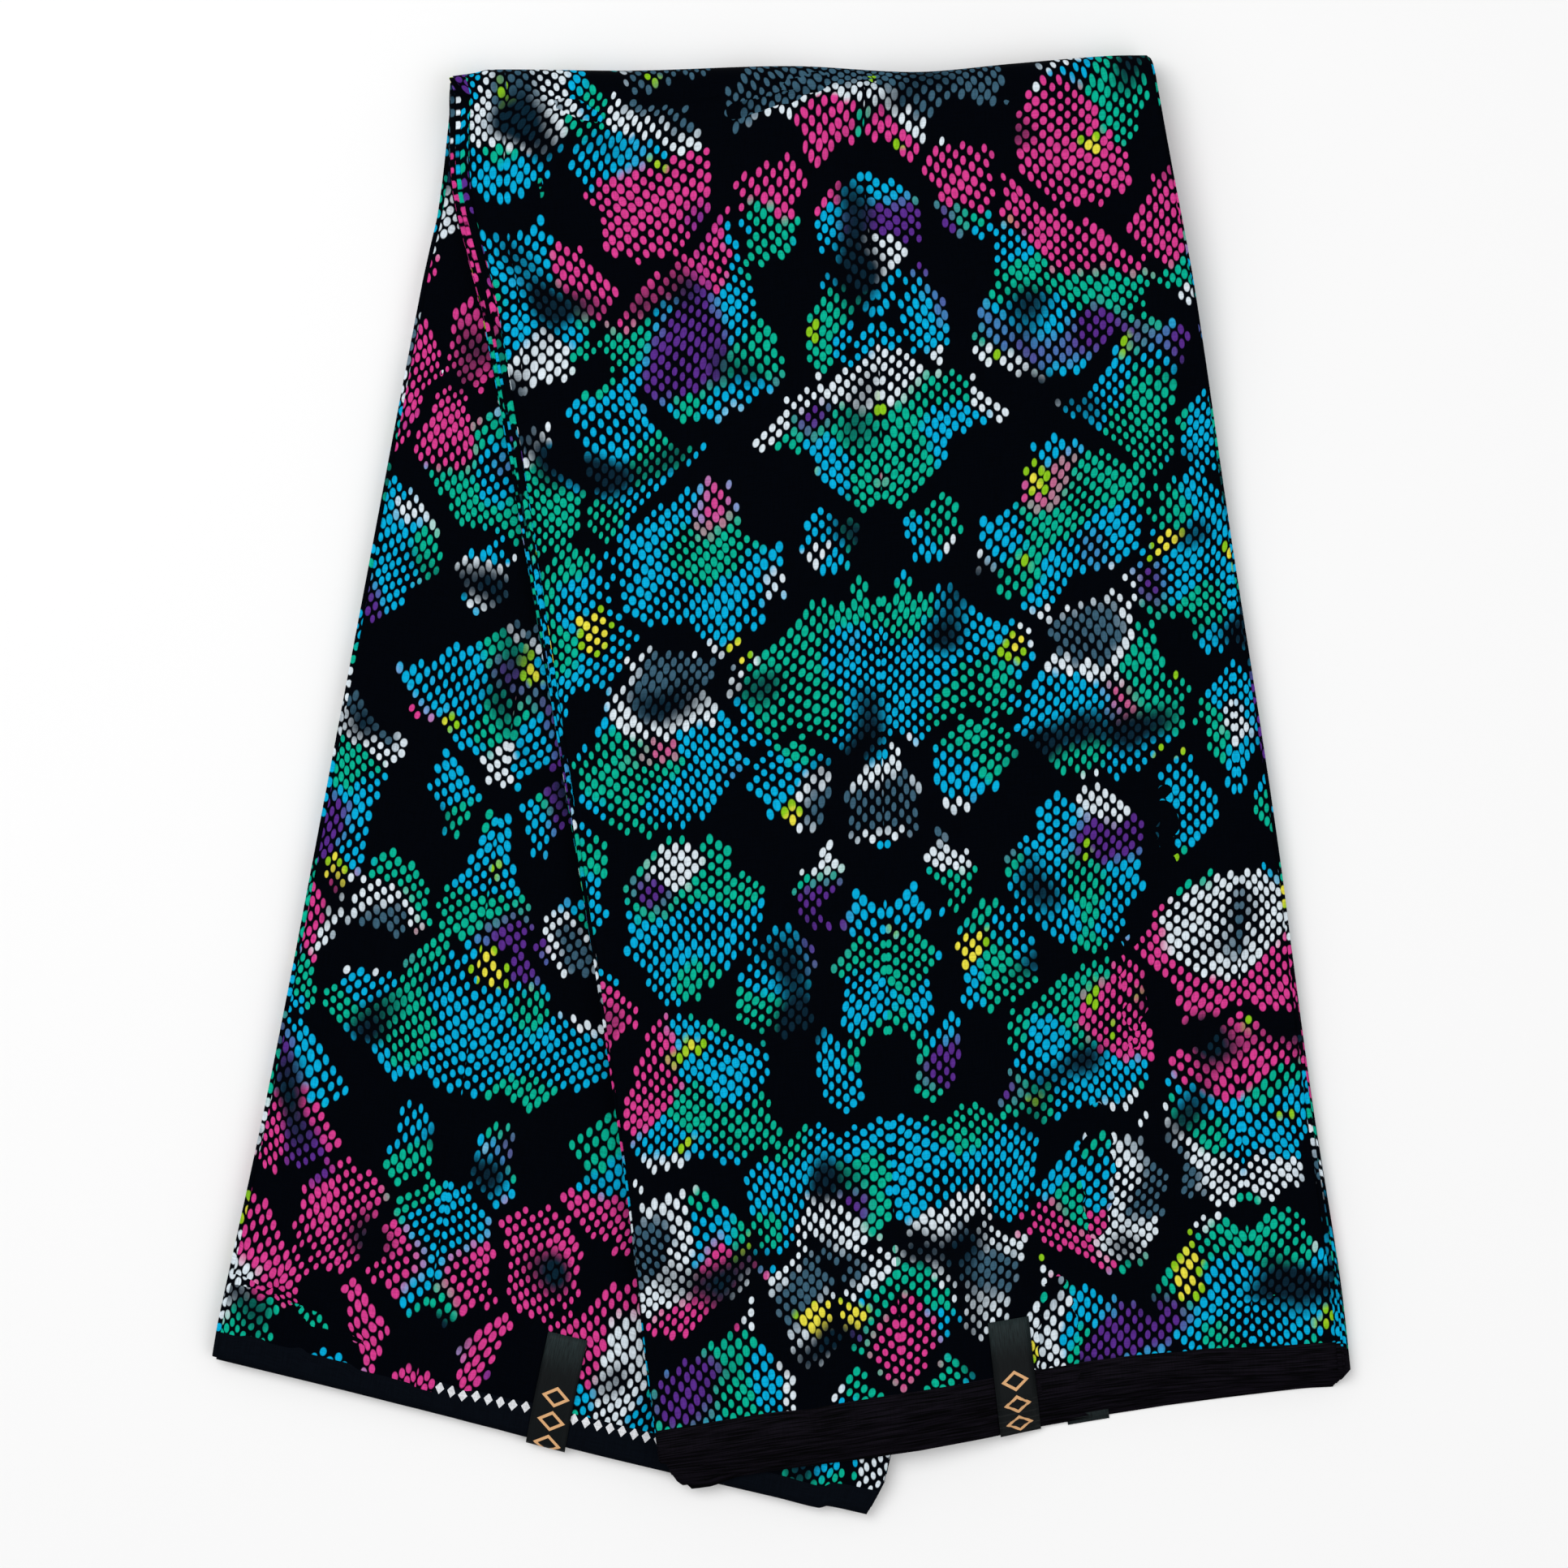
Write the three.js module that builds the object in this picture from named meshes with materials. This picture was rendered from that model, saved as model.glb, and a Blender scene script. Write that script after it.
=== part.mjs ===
// A six-yard length of wax print cotton, pleated back and forth into a flat bundle and folded once across.
// Millimetres, +Z up. The bundle lies on the plane Z = 0 with its fold towards +Y and its selvedges towards -Y.
import * as THREE from "three";
import { mergeVertices } from "three/addons/utils/BufferGeometryUtils.js";

// ---------------------------------------------------------------- driving dimensions
const PANEL_WIDTH = 287; // one pleat, from fold to fold
const WALL = 1.0; // a layer that shows, with the air that it holds
const GAP = 0.3; // between pieces that touch
const LEAF = 1.0; // a hidden pair of layers, joined at one fold
const HIDDEN_LEAVES = 8; // in each half of the bundle
const HIDDEN_DEPTH = HIDDEN_LEAVES * LEAF;
const HALF_DEPTH = WALL + GAP + HIDDEN_DEPTH;
const TURN_RADIUS = HALF_DEPTH + GAP / 2; // of the outer layer, where the bundle is folded across
const EDGE_ROUNDING = 0.5; // how far a leaf's fold stands out of the groove beside it
const TIP_DROOP = 3.0; // how far the back half's end sinks
const DROOP_LENGTH = 25.0; // over this much of its length
const RAMP_START = 17.0; // the front half leaves the back half this far past its edge
const RAMP_LENGTH = 56.0; // and is down on the table after this much more
const FRONT_DROOP = 0.7; // how much of the back half's sinking the front half follows
const TOP_DRIFT = -8.0; // sideways shift of the front's inner leaves at the fold
const END_DRIFT = 5.0; // and at the selvedges
const LABEL_WALL = 1.0;

// Sideways shift of each leaf's fold, outer leaf first.
const LEAF_SHIFTS = [0.0, 0.5, -0.4, 0.7, -0.2, 0.6, -0.5, 0.3, 0.0];

// Plan of each half's two side edges, a row for each station from the fold across (along = 0)
// to the selvedge of the shortest layer (along = 1).
const FRONT_EDGES = [
  { along: 0.0, leftX: -130.3, leftY: 287.3, rightX: 156.3, rightY: 292.5 },
  { along: 0.07, leftX: -130.0, leftY: 247.6, rightX: 163.0, rightY: 255.0 },
  { along: 0.16, leftX: -118.4, leftY: 196.6, rightX: 172.0, rightY: 206.7 },
  { along: 0.35, leftX: -101.2, leftY: 89.0, rightX: 187.5, rightY: 104.9 },
  { along: 0.6, leftX: -80.3, leftY: -52.7, rightX: 207.5, rightY: -29.1 },
  { along: 0.8, leftX: -64.5, leftY: -166.1, rightX: 220.2, rightY: -136.3 },
  { along: 0.93, leftX: -56.6, leftY: -239.7, rightX: 229.6, rightY: -206.0 },
  { along: 1.0, leftX: -51.5, leftY: -279.4, rightX: 233.0, rightY: -243.5 },
];
const BACK_EDGES = [
  { along: 0.0, leftX: -138.4, leftY: 287.3, rightX: 149.5, rightY: 292.0 },
  { along: 0.09, leftX: -142.0, leftY: 241.2, rightX: 140.3, rightY: 239.6 },
  { along: 0.5, leftX: -184.1, leftY: 31.4, rightX: 98.4, rightY: 1.0 },
  { along: 1.0, leftX: -235.4, leftY: -224.4, rightX: 47.3, rightY: -290.0 },
];

// How much further the outer layer's turn stands out than its radius, across the bundle.
const TURN_BULGE = [
  { across: 0.0, bulge: 0.0 },
  { across: 0.25, bulge: 0.2 },
  { across: 0.48, bulge: -0.3 },
  { across: 0.66, bulge: -3.8 },
  { across: 0.8, bulge: -0.7 },
  { across: 0.94, bulge: 1.8 },
  { across: 1.0, bulge: 0.0 },
];

// Ends of the front half: bow is the outer selvedge's rise, reach is how much further the innermost
// layer goes, lean is that layer's sideways shift, and tip is what its last leaf adds.
const FRONT_END = [
  { across: 0.0, bow: 0.0, reach: 8.0, lean: 5.0, tip: 0.0 },
  { across: 0.04, bow: 0.4, reach: 9.5, lean: 1.0, tip: 5.0 },
  { across: 0.2, bow: 2.0, reach: 13.0, lean: 0.0, tip: 0.5 },
  { across: 0.35, bow: 3.5, reach: 14.3, lean: 0.0, tip: 0.0 },
  { across: 0.7, bow: 6.4, reach: 12.5, lean: 0.0, tip: 0.0 },
  { across: 0.92, bow: 1.5, reach: 7.5, lean: 0.0, tip: 0.0 },
  { across: 1.0, bow: 0.0, reach: 7.9, lean: -6.0, tip: 0.0 },
];
const BACK_END = [
  { across: 0.0, bow: 0.0, reach: 14.0, lean: 0.0, tip: 0.0 },
  { across: 0.5, bow: 0.0, reach: 14.0, lean: 0.0, tip: 0.0 },
  { across: 0.92, bow: 0.0, reach: 13.0, lean: 0.0, tip: 0.0 },
  { across: 0.94, bow: 0.0, reach: 15.0, lean: -1.0, tip: 0.0 },
  { across: 1.0, bow: 0.0, reach: 14.0, lean: -7.5, tip: 0.0 },
];

// Labels: bands across the selvedges. Each begins at its first station on its half, or at its first
// overhang among the stepped selvedges, and goes past the last of them by over.
const LABELS = {
  front: { leftAcross: 0.494, rightAcross: 0.554, over: 1.0 },
  back: { leftAcross: 0.4725, rightAcross: 0.531, over: 1.6 },
  under: { leftAcross: 0.594, rightAcross: 0.655, over: 1.7 },
};

// Shares of the width at which every section has points. The labels' edges are among them.
const ACROSS = [
  0, 0.04, 0.1, 0.17, 0.235, 0.3, 0.36, 0.42, 0.4725, 0.494, 0.531, 0.554, 0.594, 0.655, 0.72, 0.79, 0.86,
  0.93, 1,
];

// ---------------------------------------------------------------- working out places
const clamp01 = (value) => Math.min(1, Math.max(0, value));
const mix = (a, b, share) => a + (b - a) * share;
const smooth = (share) => {
  const s = clamp01(share);
  return s * s * (3 - 2 * s);
};

/** Reads one column of a table at a place between its rows, on a smooth curve through them. */
function readTable(rows, key, column, at) {
  const last = rows.length - 1;
  let i = 0;
  while (i < last - 1 && at > rows[i + 1][key]) i += 1;
  const slopeAt = (n) => {
    const before = rows[Math.max(0, n - 1)];
    const after = rows[Math.min(last, n + 1)];
    return (after[column] - before[column]) / (after[key] - before[key]);
  };
  const a = rows[i];
  const b = rows[i + 1];
  const span = b[key] - a[key];
  const u = (at - a[key]) / span;
  if (u < 0 || u > 1) return mix(a[column], b[column], u);
  const u2 = u * u;
  const u3 = u2 * u;
  return (
    (2 * u3 - 3 * u2 + 1) * a[column] +
    (u3 - 2 * u2 + u) * span * slopeAt(i) +
    (3 * u2 - 2 * u3) * b[column] +
    (u3 - u2) * span * slopeAt(i + 1)
  );
}

/** Place in plan on one half: across from its left to its right edge, along from the fold. */
function planPoint(edges, across, along) {
  const left = [readTable(edges, "along", "leftX", along), readTable(edges, "along", "leftY", along)];
  const right = [readTable(edges, "along", "rightX", along), readTable(edges, "along", "rightY", along)];
  return new THREE.Vector2(mix(left[0], right[0], across), mix(left[1], right[1], across));
}

/** The way a half's length runs, as a unit vector in plan, away from the fold. */
function lengthwise(edges) {
  const first = edges[0];
  const last = edges[edges.length - 1];
  const x = last.leftX + last.rightX - first.leftX - first.rightX;
  const y = last.leftY + last.rightY - first.leftY - first.rightY;
  return new THREE.Vector2(x, y).normalize();
}

const FRONT_WAY = lengthwise(FRONT_EDGES);
const BACK_WAY = lengthwise(BACK_EDGES);
const BACK_RIGHT_TOP = new THREE.Vector2(BACK_EDGES[0].rightX, BACK_EDGES[0].rightY);
const BACK_RIGHT_END = new THREE.Vector2(BACK_EDGES.at(-1).rightX, BACK_EDGES.at(-1).rightY);
const BACK_LEFT_END = new THREE.Vector2(BACK_EDGES.at(-1).leftX, BACK_EDGES.at(-1).leftY);
const BACK_REACH = BACK_END[0].reach;

/** Distance from a line through two points, positive on its left-hand side. */
function distanceFrom(start, end, point) {
  const way = end.clone().sub(start).normalize();
  return way.x * (point.y - start.y) - way.y * (point.x - start.x);
}

/** How far the end of the back half sinks at a place in plan. */
function droopAt(point) {
  const inside = distanceFrom(BACK_LEFT_END, BACK_RIGHT_END, point) + BACK_REACH;
  return TIP_DROOP * Math.max(0, 1 - inside / DROOP_LENGTH) ** 2;
}

/** Height of what the front half lies on: the back half, then a ramp down to the table. */
function bedHeight(point) {
  const past = distanceFrom(BACK_RIGHT_TOP, BACK_RIGHT_END, point);
  const onBack = HALF_DEPTH + GAP - FRONT_DROOP * droopAt(point);
  return onBack * (1 - smooth((past - RAMP_START) / RAMP_LENGTH));
}

/**
 * A place on a half. depth is measured from the outer face of the bundle, which is the top of the
 * front half and the underside of the back half. overhang goes from 0 at the shortest layer's
 * selvedge to 1 at the longest one's.
 */
function placeOn(half, { across, inset = 0, depth, along, overhang = 0 }) {
  const edges = half === "front" ? FRONT_EDGES : BACK_EDGES;
  const end = half === "front" ? FRONT_END : BACK_END;
  const way = half === "front" ? FRONT_WAY : BACK_WAY;
  const column = (name) => readTable(end, "across", name, clamp01(across));
  const plan = planPoint(edges, across + inset / PANEL_WIDTH, along);
  const tip = column("tip") * clamp01(overhang * HIDDEN_LEAVES - HIDDEN_LEAVES + 1);
  plan.addScaledVector(way, column("reach") * overhang + tip);
  plan.x += column("lean") * overhang;
  plan.y += column("bow") * along ** 8;
  if (half === "front") {
    const drift = mix(TOP_DRIFT, END_DRIFT, along);
    const innermost = new THREE.Vector2(plan.x + drift, plan.y);
    plan.x += (drift * depth) / HALF_DEPTH;
    return new THREE.Vector3(plan.x, plan.y, bedHeight(innermost) + HALF_DEPTH - depth);
  }
  return new THREE.Vector3(plan.x, plan.y, depth * (1 - droopAt(plan) / HALF_DEPTH));
}

/** A place in the turn at the fold. turn goes from 0 at the back half to 1 at the front half. */
function placeInTurn({ across, inset = 0, depth, turn }) {
  const shifted = across + inset / PANEL_WIDTH;
  const start = planPoint(BACK_EDGES, shifted, 0);
  const finish = planPoint(FRONT_EDGES, shifted, 0);
  finish.x += (TOP_DRIFT * depth) / HALF_DEPTH;
  const plan = start.lerp(finish, turn);
  const radius = TURN_RADIUS - depth;
  const angle = Math.PI * turn;
  const reach = radius * (1 + readTable(TURN_BULGE, "across", "bulge", across) / TURN_RADIUS);
  const height = TURN_RADIUS - radius * Math.cos(angle);
  return new THREE.Vector3(plan.x, plan.y + GAP + reach * Math.sin(angle), height);
}

// ---------------------------------------------------------------- making solids
/** Points of one section, round the leaves: outer face, right folds, inner face, left folds. */
function sectionPoints(leaves) {
  const points = [];
  const side = (across, level, out) => {
    const groove = across === 1 ? -EDGE_ROUNDING : EDGE_ROUNDING;
    points.push({ across, level, inset: out ? 0 : groove });
  };
  const row = (order, level) => {
    for (const across of order) {
      if (across === 0 || across === 1) side(across, level, false);
      else points.push({ across, level, inset: 0 });
    }
  };
  row(ACROSS, 0);
  for (let leaf = 0; leaf < leaves; leaf += 1) {
    side(1, leaf + 0.5, true);
    if (leaf < leaves - 1) side(1, leaf + 1, false);
  }
  row([...ACROSS].reverse(), leaves);
  for (let leaf = leaves - 1; leaf >= 0; leaf -= 1) {
    side(0, leaf + 0.5, true);
    if (leaf > 0) side(0, leaf, false);
  }
  return points;
}

/** A section's points, with the leaves that have already ended pressed onto the next one's face. */
function cutToLevel(points, firstLevel) {
  return points.map((point) => {
    if (point.level >= firstLevel) return point;
    const groove = point.across === 1 ? -EDGE_ROUNDING : EDGE_ROUNDING;
    const onSide = point.across === 0 || point.across === 1;
    return { ...point, level: firstLevel, inset: onSide ? groove : 0 };
  });
}

/** Volume enclosed by a list of triangles, negative where they face inwards. */
function enclosedVolume(corners, faces) {
  const cross = new THREE.Vector3();
  return faces.reduce((sum, [a, b, c]) => {
    cross.crossVectors(corners[b], corners[c]);
    return sum + corners[a].dot(cross) / 6;
  }, 0);
}

/** Joins rings of points into one closed solid. Its first and last rings are covered. */
function joinRings(rings, outline, closedEnd) {
  const count = rings[0].length;
  const corners = rings.flat();
  const faces = [];
  for (let r = 0; r < rings.length - 1; r += 1) {
    for (let i = 0; i < count; i += 1) {
      const next = (i + 1) % count;
      const a = r * count + i;
      const b = r * count + next;
      const c = (r + 1) * count + next;
      const d = (r + 1) * count + i;
      // Both faces of a layer are split along the same diagonals, so that neighbours stay apart.
      if (outline[next].x < outline[i].x) faces.push([a, b, d], [b, c, d]);
      else faces.push([a, b, c], [a, c, d]);
    }
  }
  const cover = THREE.ShapeUtils.triangulateShape(outline, []);
  const lastRing = (rings.length - 1) * count;
  for (const [a, b, c] of cover) {
    faces.push([a, c, b]);
    if (closedEnd) faces.push([lastRing + a, lastRing + b, lastRing + c]);
  }
  if (enclosedVolume(corners, faces) < 0) faces.forEach((face) => face.reverse());
  return weld(corners, faces);
}

/** A geometry of merged corners, without the faces that merging leaves with no area. */
function weld(corners, faces) {
  const flat = new THREE.BufferGeometry();
  flat.setAttribute("position", new THREE.Float32BufferAttribute(corners.flatMap((p) => p.toArray()), 3));
  flat.setIndex(faces.flat());
  const merged = mergeVertices(flat, 2e-3);
  const index = [...merged.index.array];
  const kept = [];
  for (let i = 0; i < index.length; i += 3) {
    const [a, b, c] = index.slice(i, i + 3);
    if (a !== b && b !== c && c !== a) kept.push(a, b, c);
  }
  merged.setIndex(kept);
  merged.computeVertexNormals();
  return merged;
}

/** The outline that covers a section's end, in units of one leaf. */
function coverOutline(points, leaves) {
  return points.map((point) => {
    return new THREE.Vector2(point.across * PANEL_WIDTH + point.inset, (point.level * LEAF * 10) / leaves);
  });
}

/** Sideways shift of the folds at one level of a stack. */
function leafShift(level, leaves) {
  if (leaves === 1) return 0;
  return LEAF_SHIFTS[Math.floor(level) % LEAF_SHIFTS.length];
}

/** Layers of one half from one depth to another, with their selvedges stepped at the end. */
function stackGeometry(half, { from, to, leaves, stations, steps }) {
  const points = sectionPoints(leaves);
  const ring = (along, overhang, firstLevel) =>
    cutToLevel(points, firstLevel).map((point) =>
      placeOn(half, {
        across: point.across,
        inset: point.inset + leafShift(point.level, leaves),
        depth: mix(from, to, point.level / leaves),
        along,
        overhang,
      }),
    );
  const rings = stations.map((along) => ring(along, 0, 0));
  for (const step of steps) {
    rings.push(ring(1, step.overhang, step.above));
    rings.push(ring(1, step.overhang, step.below));
  }
  return joinRings(rings, coverOutline(points, leaves), false);
}

/** Selvedge steps of a stack: each leaf ends a little past the one outside it. */
function selvedgeSteps(leaves, firstOverhang) {
  return Array.from({ length: leaves }, (_, leaf) => ({
    overhang: mix(firstOverhang, 1, leaves === 1 ? 0 : leaf / (leaves - 1)),
    above: leaf,
    below: leaf + 1,
  }));
}

/** The turn at the fold: all the leaves, bent round, with their folds showing at both sides. */
function turnGeometry({ leaves, turns }) {
  const points = sectionPoints(leaves);
  const rings = [];
  for (let i = 0; i <= turns; i += 1) {
    const turn = i / turns;
    rings.push(
      points.map((point) =>
        placeInTurn({
          across: point.across,
          inset: point.inset + leafShift(point.level, leaves),
          depth: (HIDDEN_DEPTH * point.level) / leaves,
          turn,
        }),
      ),
    );
  }
  return joinRings(rings, coverOutline(points, leaves), true);
}

/** A band of cloth laid along a path, which is a list of [left, right, up] places for its stations. */
function bandGeometry(path, wall) {
  const rings = path.map(({ left, right, up }) => [
    left.clone(),
    right.clone(),
    right.clone().addScaledVector(up, wall),
    left.clone().addScaledVector(up, wall),
  ]);
  const outline = [
    new THREE.Vector2(0, 0),
    new THREE.Vector2(1, 0),
    new THREE.Vector2(1, 1),
    new THREE.Vector2(0, 1),
  ];
  return joinRings(rings, outline, true);
}

// ---------------------------------------------------------------- labels
const UP = new THREE.Vector3(0, 0, 1);

/** A label's two side points, lifted off the cloth that it lies on. */
function labelStation(half, label, { along, overhang = 0 }) {
  const frontDepth = overhang * (HALF_DEPTH - LEAF);
  const depth = half === "front" ? frontDepth : HALF_DEPTH;
  const at = (across) => placeOn(half, { across, depth, along, overhang }).addScaledVector(UP, GAP);
  return { left: at(label.leftAcross), right: at(label.rightAcross), up: UP };
}

/** The station at a label's end, a little past the last selvedge. */
function pastEnd(station, way, out) {
  const shift = new THREE.Vector3(way.x * out, way.y * out, 0);
  return { left: station.left.clone().add(shift), right: station.right.clone().add(shift), up: UP };
}

/** A label from its start on a half, over the stepped selvedges, to just past them. */
function labelGeometry(half, label, alongs, overhangs) {
  const stations = [
    ...alongs.map((along) => labelStation(half, label, { along })),
    ...overhangs.map((overhang) => labelStation(half, label, { along: 1, overhang })),
  ];
  const way = half === "front" ? FRONT_WAY : BACK_WAY;
  stations.push(pastEnd(stations.at(-1), way, label.over));
  return bandGeometry(stations, LABEL_WALL);
}

// ---------------------------------------------------------------- the part
const FRONT_STATIONS = [0, 0.04, 0.08, 0.12, 0.18, 0.26, 0.35, 0.45, 0.55, 0.65, 0.75, 0.85, 0.91, 0.9345, 0.97, 1];
const BACK_STATIONS = [0, 0.04, 0.08, 0.12, 0.2, 0.35, 0.5, 0.65, 0.8, 0.91, 0.945, 0.973, 1];
const FRONT_LABEL_STATIONS = FRONT_STATIONS.slice(-3);
const BACK_LABEL_STATIONS = BACK_STATIONS.slice(-3);

const COLORS = {
  print: 0x11424c,
  hidden: 0x0c0f16,
  label: 0x1c1f24,
};

function mesh(name, geometry, color, roughness) {
  const material = new THREE.MeshStandardMaterial({ color, roughness, metalness: 0 });
  const made = new THREE.Mesh(geometry, material);
  made.name = name;
  return made;
}

function frontPanel() {
  return stackGeometry("front", {
    from: 0,
    to: WALL,
    leaves: 1,
    stations: FRONT_STATIONS,
    steps: [{ overhang: 0, above: 0, below: 1 }],
  });
}

function frontPleats() {
  return stackGeometry("front", {
    from: WALL + GAP,
    to: HALF_DEPTH,
    leaves: HIDDEN_LEAVES,
    stations: FRONT_STATIONS,
    steps: selvedgeSteps(HIDDEN_LEAVES, 1 / HIDDEN_LEAVES),
  });
}

function backPanel() {
  return stackGeometry("back", {
    from: HALF_DEPTH - WALL,
    to: HALF_DEPTH,
    leaves: 1,
    stations: BACK_STATIONS,
    steps: [
      { overhang: 0.5, above: 0, below: 0 },
      { overhang: 1, above: 0, below: 1 },
    ],
  });
}

function backPleats() {
  return stackGeometry("back", {
    from: 0,
    to: HIDDEN_DEPTH,
    leaves: HIDDEN_LEAVES,
    stations: BACK_STATIONS,
    steps: selvedgeSteps(HIDDEN_LEAVES, 0).map((step) => ({ ...step, overhang: step.overhang * 0.86 })),
  });
}

const part = new THREE.Group();
part.add(
  mesh("front_panel", frontPanel(), COLORS.print, 0.8),
  mesh("front_pleats", frontPleats(), COLORS.hidden, 0.85),
  mesh("top_fold", turnGeometry({ leaves: HIDDEN_LEAVES, turns: 10 }), COLORS.print, 0.8),
  mesh("back_panel", backPanel(), COLORS.print, 0.8),
  mesh("back_pleats", backPleats(), COLORS.hidden, 0.85),
  mesh("label_front", labelGeometry("front", LABELS.front, FRONT_LABEL_STATIONS, [0.34, 0.67, 1]), COLORS.label, 0.5),
  mesh("label_back", labelGeometry("back", LABELS.back, BACK_LABEL_STATIONS, [0.5, 1]), COLORS.label, 0.5),
  mesh("label_under", labelGeometry("front", LABELS.under, [], [0.55, 0.78, 1]), COLORS.label, 0.5),
);

// The origin is the middle of the bundle's plan, on the table.
const box = new THREE.Box3().setFromObject(part);
const middle = box.getCenter(new THREE.Vector3());
part.position.set(-middle.x, -middle.y, -box.min.z);
part.updateMatrixWorld(true);

export default part;
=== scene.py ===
"""A six-yard length of wax print cotton, pleated flat and folded once across, dressed for rendering.

The cloth is one rectangle, 5.49 m by 1.16 m, laid back and forth in 19 layers and then doubled over. Each
stretch of it is a thin sheet with its own print coordinates, so the print runs on over every fold.
"""

import logging
import math
from dataclasses import dataclass, field
from enum import Enum

import bpy
import numpy as np
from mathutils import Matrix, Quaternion, Vector


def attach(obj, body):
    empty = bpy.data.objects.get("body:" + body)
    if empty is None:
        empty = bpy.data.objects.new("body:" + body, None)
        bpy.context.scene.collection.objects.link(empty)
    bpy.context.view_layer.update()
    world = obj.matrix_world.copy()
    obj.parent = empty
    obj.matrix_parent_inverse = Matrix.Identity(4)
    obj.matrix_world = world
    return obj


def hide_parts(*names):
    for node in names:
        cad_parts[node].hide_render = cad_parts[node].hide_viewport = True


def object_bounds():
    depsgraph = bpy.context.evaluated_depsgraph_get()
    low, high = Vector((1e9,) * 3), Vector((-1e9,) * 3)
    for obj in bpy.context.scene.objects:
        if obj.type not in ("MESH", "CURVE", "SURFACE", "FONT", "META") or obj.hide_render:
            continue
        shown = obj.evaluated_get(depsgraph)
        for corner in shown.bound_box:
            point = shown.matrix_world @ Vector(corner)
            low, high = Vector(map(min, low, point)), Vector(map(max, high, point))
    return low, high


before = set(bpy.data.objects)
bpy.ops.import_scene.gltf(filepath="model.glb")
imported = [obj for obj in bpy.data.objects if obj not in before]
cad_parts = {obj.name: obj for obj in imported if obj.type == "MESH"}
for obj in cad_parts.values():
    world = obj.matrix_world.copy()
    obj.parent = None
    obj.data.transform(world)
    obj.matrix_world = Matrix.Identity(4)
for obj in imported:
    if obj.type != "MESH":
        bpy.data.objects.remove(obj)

CAD_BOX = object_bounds()
LOG = logging.getLogger("wax_print")
MM = 0.001
TINY = 1e-12
ROOT = "root"
PRINT_MAP = "Print"
BAKE_MAP = "OFBake"

Array = np.ndarray
Tree = bpy.types.NodeTree
Node = bpy.types.Node
Socket = bpy.types.NodeSocket


class Half(Enum):
    """The two halves of the bundle, either side of the fold across it."""

    FRONT = "front"
    BACK = "back"


class PatchForm(Enum):
    """Outline of one patch of snakeskin scales. A bare one has no scales and keeps the others off."""

    OVAL = "oval"
    KITE = "kite"
    BARE = "bare"


# -------------------------------------------------------------------------------- tables
@dataclass(frozen=True)
class EdgeRow:
    """Where a half's two side edges lie at one station along it, in millimetres."""

    along: float
    left_x: float
    left_y: float
    right_x: float
    right_y: float


@dataclass(frozen=True)
class EndRow:
    """How a half ends at one place across it, in millimetres.

    bow is the outer selvedge's rise, reach how much further the innermost layer goes, lean that layer's
    sideways shift, tip what its last leaf adds and tip_lean that leaf's own sideways shift.
    """

    across: float
    bow: float
    reach: float
    lean: float
    tip: float
    tip_lean: float = 0.0


@dataclass(frozen=True)
class BulgeRow:
    """How much the turn at the fold stands out at one place across the bundle, in millimetres."""

    across: float
    bulge: float


@dataclass(frozen=True)
class AxisRow:
    """Where the print's mirror line crosses a half, as a share of the width, at one station along it."""

    along: float
    across: float


@dataclass(frozen=True)
class Crease:
    """A soft trough pressed into a half, from one place in plan to another, in millimetres."""

    half: Half
    start: tuple[float, float]
    end: tuple[float, float]
    depth: float
    width: float


@dataclass(frozen=True)
class Wave:
    """A long soft wave in the cloth's upper face: radians for each millimetre in x and y, and its phase."""

    by_x: float
    by_y: float
    phase: float


FRONT_EDGES = (
    EdgeRow(0.0, -130.3, 287.3, 156.3, 292.5),
    EdgeRow(0.07, -130.0, 247.6, 163.0, 255.0),
    EdgeRow(0.16, -118.4, 196.6, 172.0, 206.7),
    EdgeRow(0.35, -101.2, 89.0, 187.5, 104.9),
    EdgeRow(0.6, -80.3, -52.7, 207.5, -29.1),
    EdgeRow(0.8, -64.5, -166.1, 220.2, -136.3),
    EdgeRow(0.93, -56.6, -239.7, 229.6, -206.0),
    EdgeRow(1.0, -51.5, -279.4, 233.0, -243.5),
)
BACK_EDGES = (
    EdgeRow(0.0, -138.4, 287.3, 149.5, 292.0),
    EdgeRow(0.09, -143.6, 241.2, 140.3, 239.6),
    EdgeRow(0.14, -149.4, 215.5, 135.2, 210.5),
    EdgeRow(0.5, -184.1, 31.4, 98.4, 1.0),
    EdgeRow(0.8, -213.4, -122.1, 67.7, -173.6),
    EdgeRow(1.0, -235.4, -224.4, 42.0, -290.0),
)
FRONT_END = (
    EndRow(0.0, 0.0, 9.5, 1.0, 4.5, 5.5),
    EndRow(0.045, 0.4, 10.5, 1.0, 4.0, 3.0),
    EndRow(0.085, 0.9, 11.3, 0.5, 1.5, 1.0),
    EndRow(0.16, 1.6, 12.5, 0.0, 0.2),
    EndRow(0.35, 3.5, 14.0, 0.0, 0.0),
    EndRow(0.7, 6.4, 12.5, 0.0, 0.0),
    EndRow(0.92, 1.5, 7.5, 0.0, 0.0),
    EndRow(1.0, 0.0, 7.9, -8.0, 0.0),
)
BACK_END = (
    EndRow(0.0, 0.0, 14.0, 0.0, 0.6),
    EndRow(0.18, -1.0, 14.0, 0.0, 0.0),
    EndRow(0.42, -2.2, 14.0, 0.0, 0.0),
    EndRow(0.55, -3.0, 14.0, 0.0, 0.0),
    EndRow(0.67, -3.2, 14.0, 0.0, 0.0),
    EndRow(0.85, -3.6, 13.4, 0.0, 0.0),
    EndRow(0.912, -4.2, 13.0, 0.0, 0.0),
    EndRow(0.926, -1.4, 14.0, -0.5, 0.0),
    EndRow(1.0, 0.0, 14.0, -4.5, 0.0),
)
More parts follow.
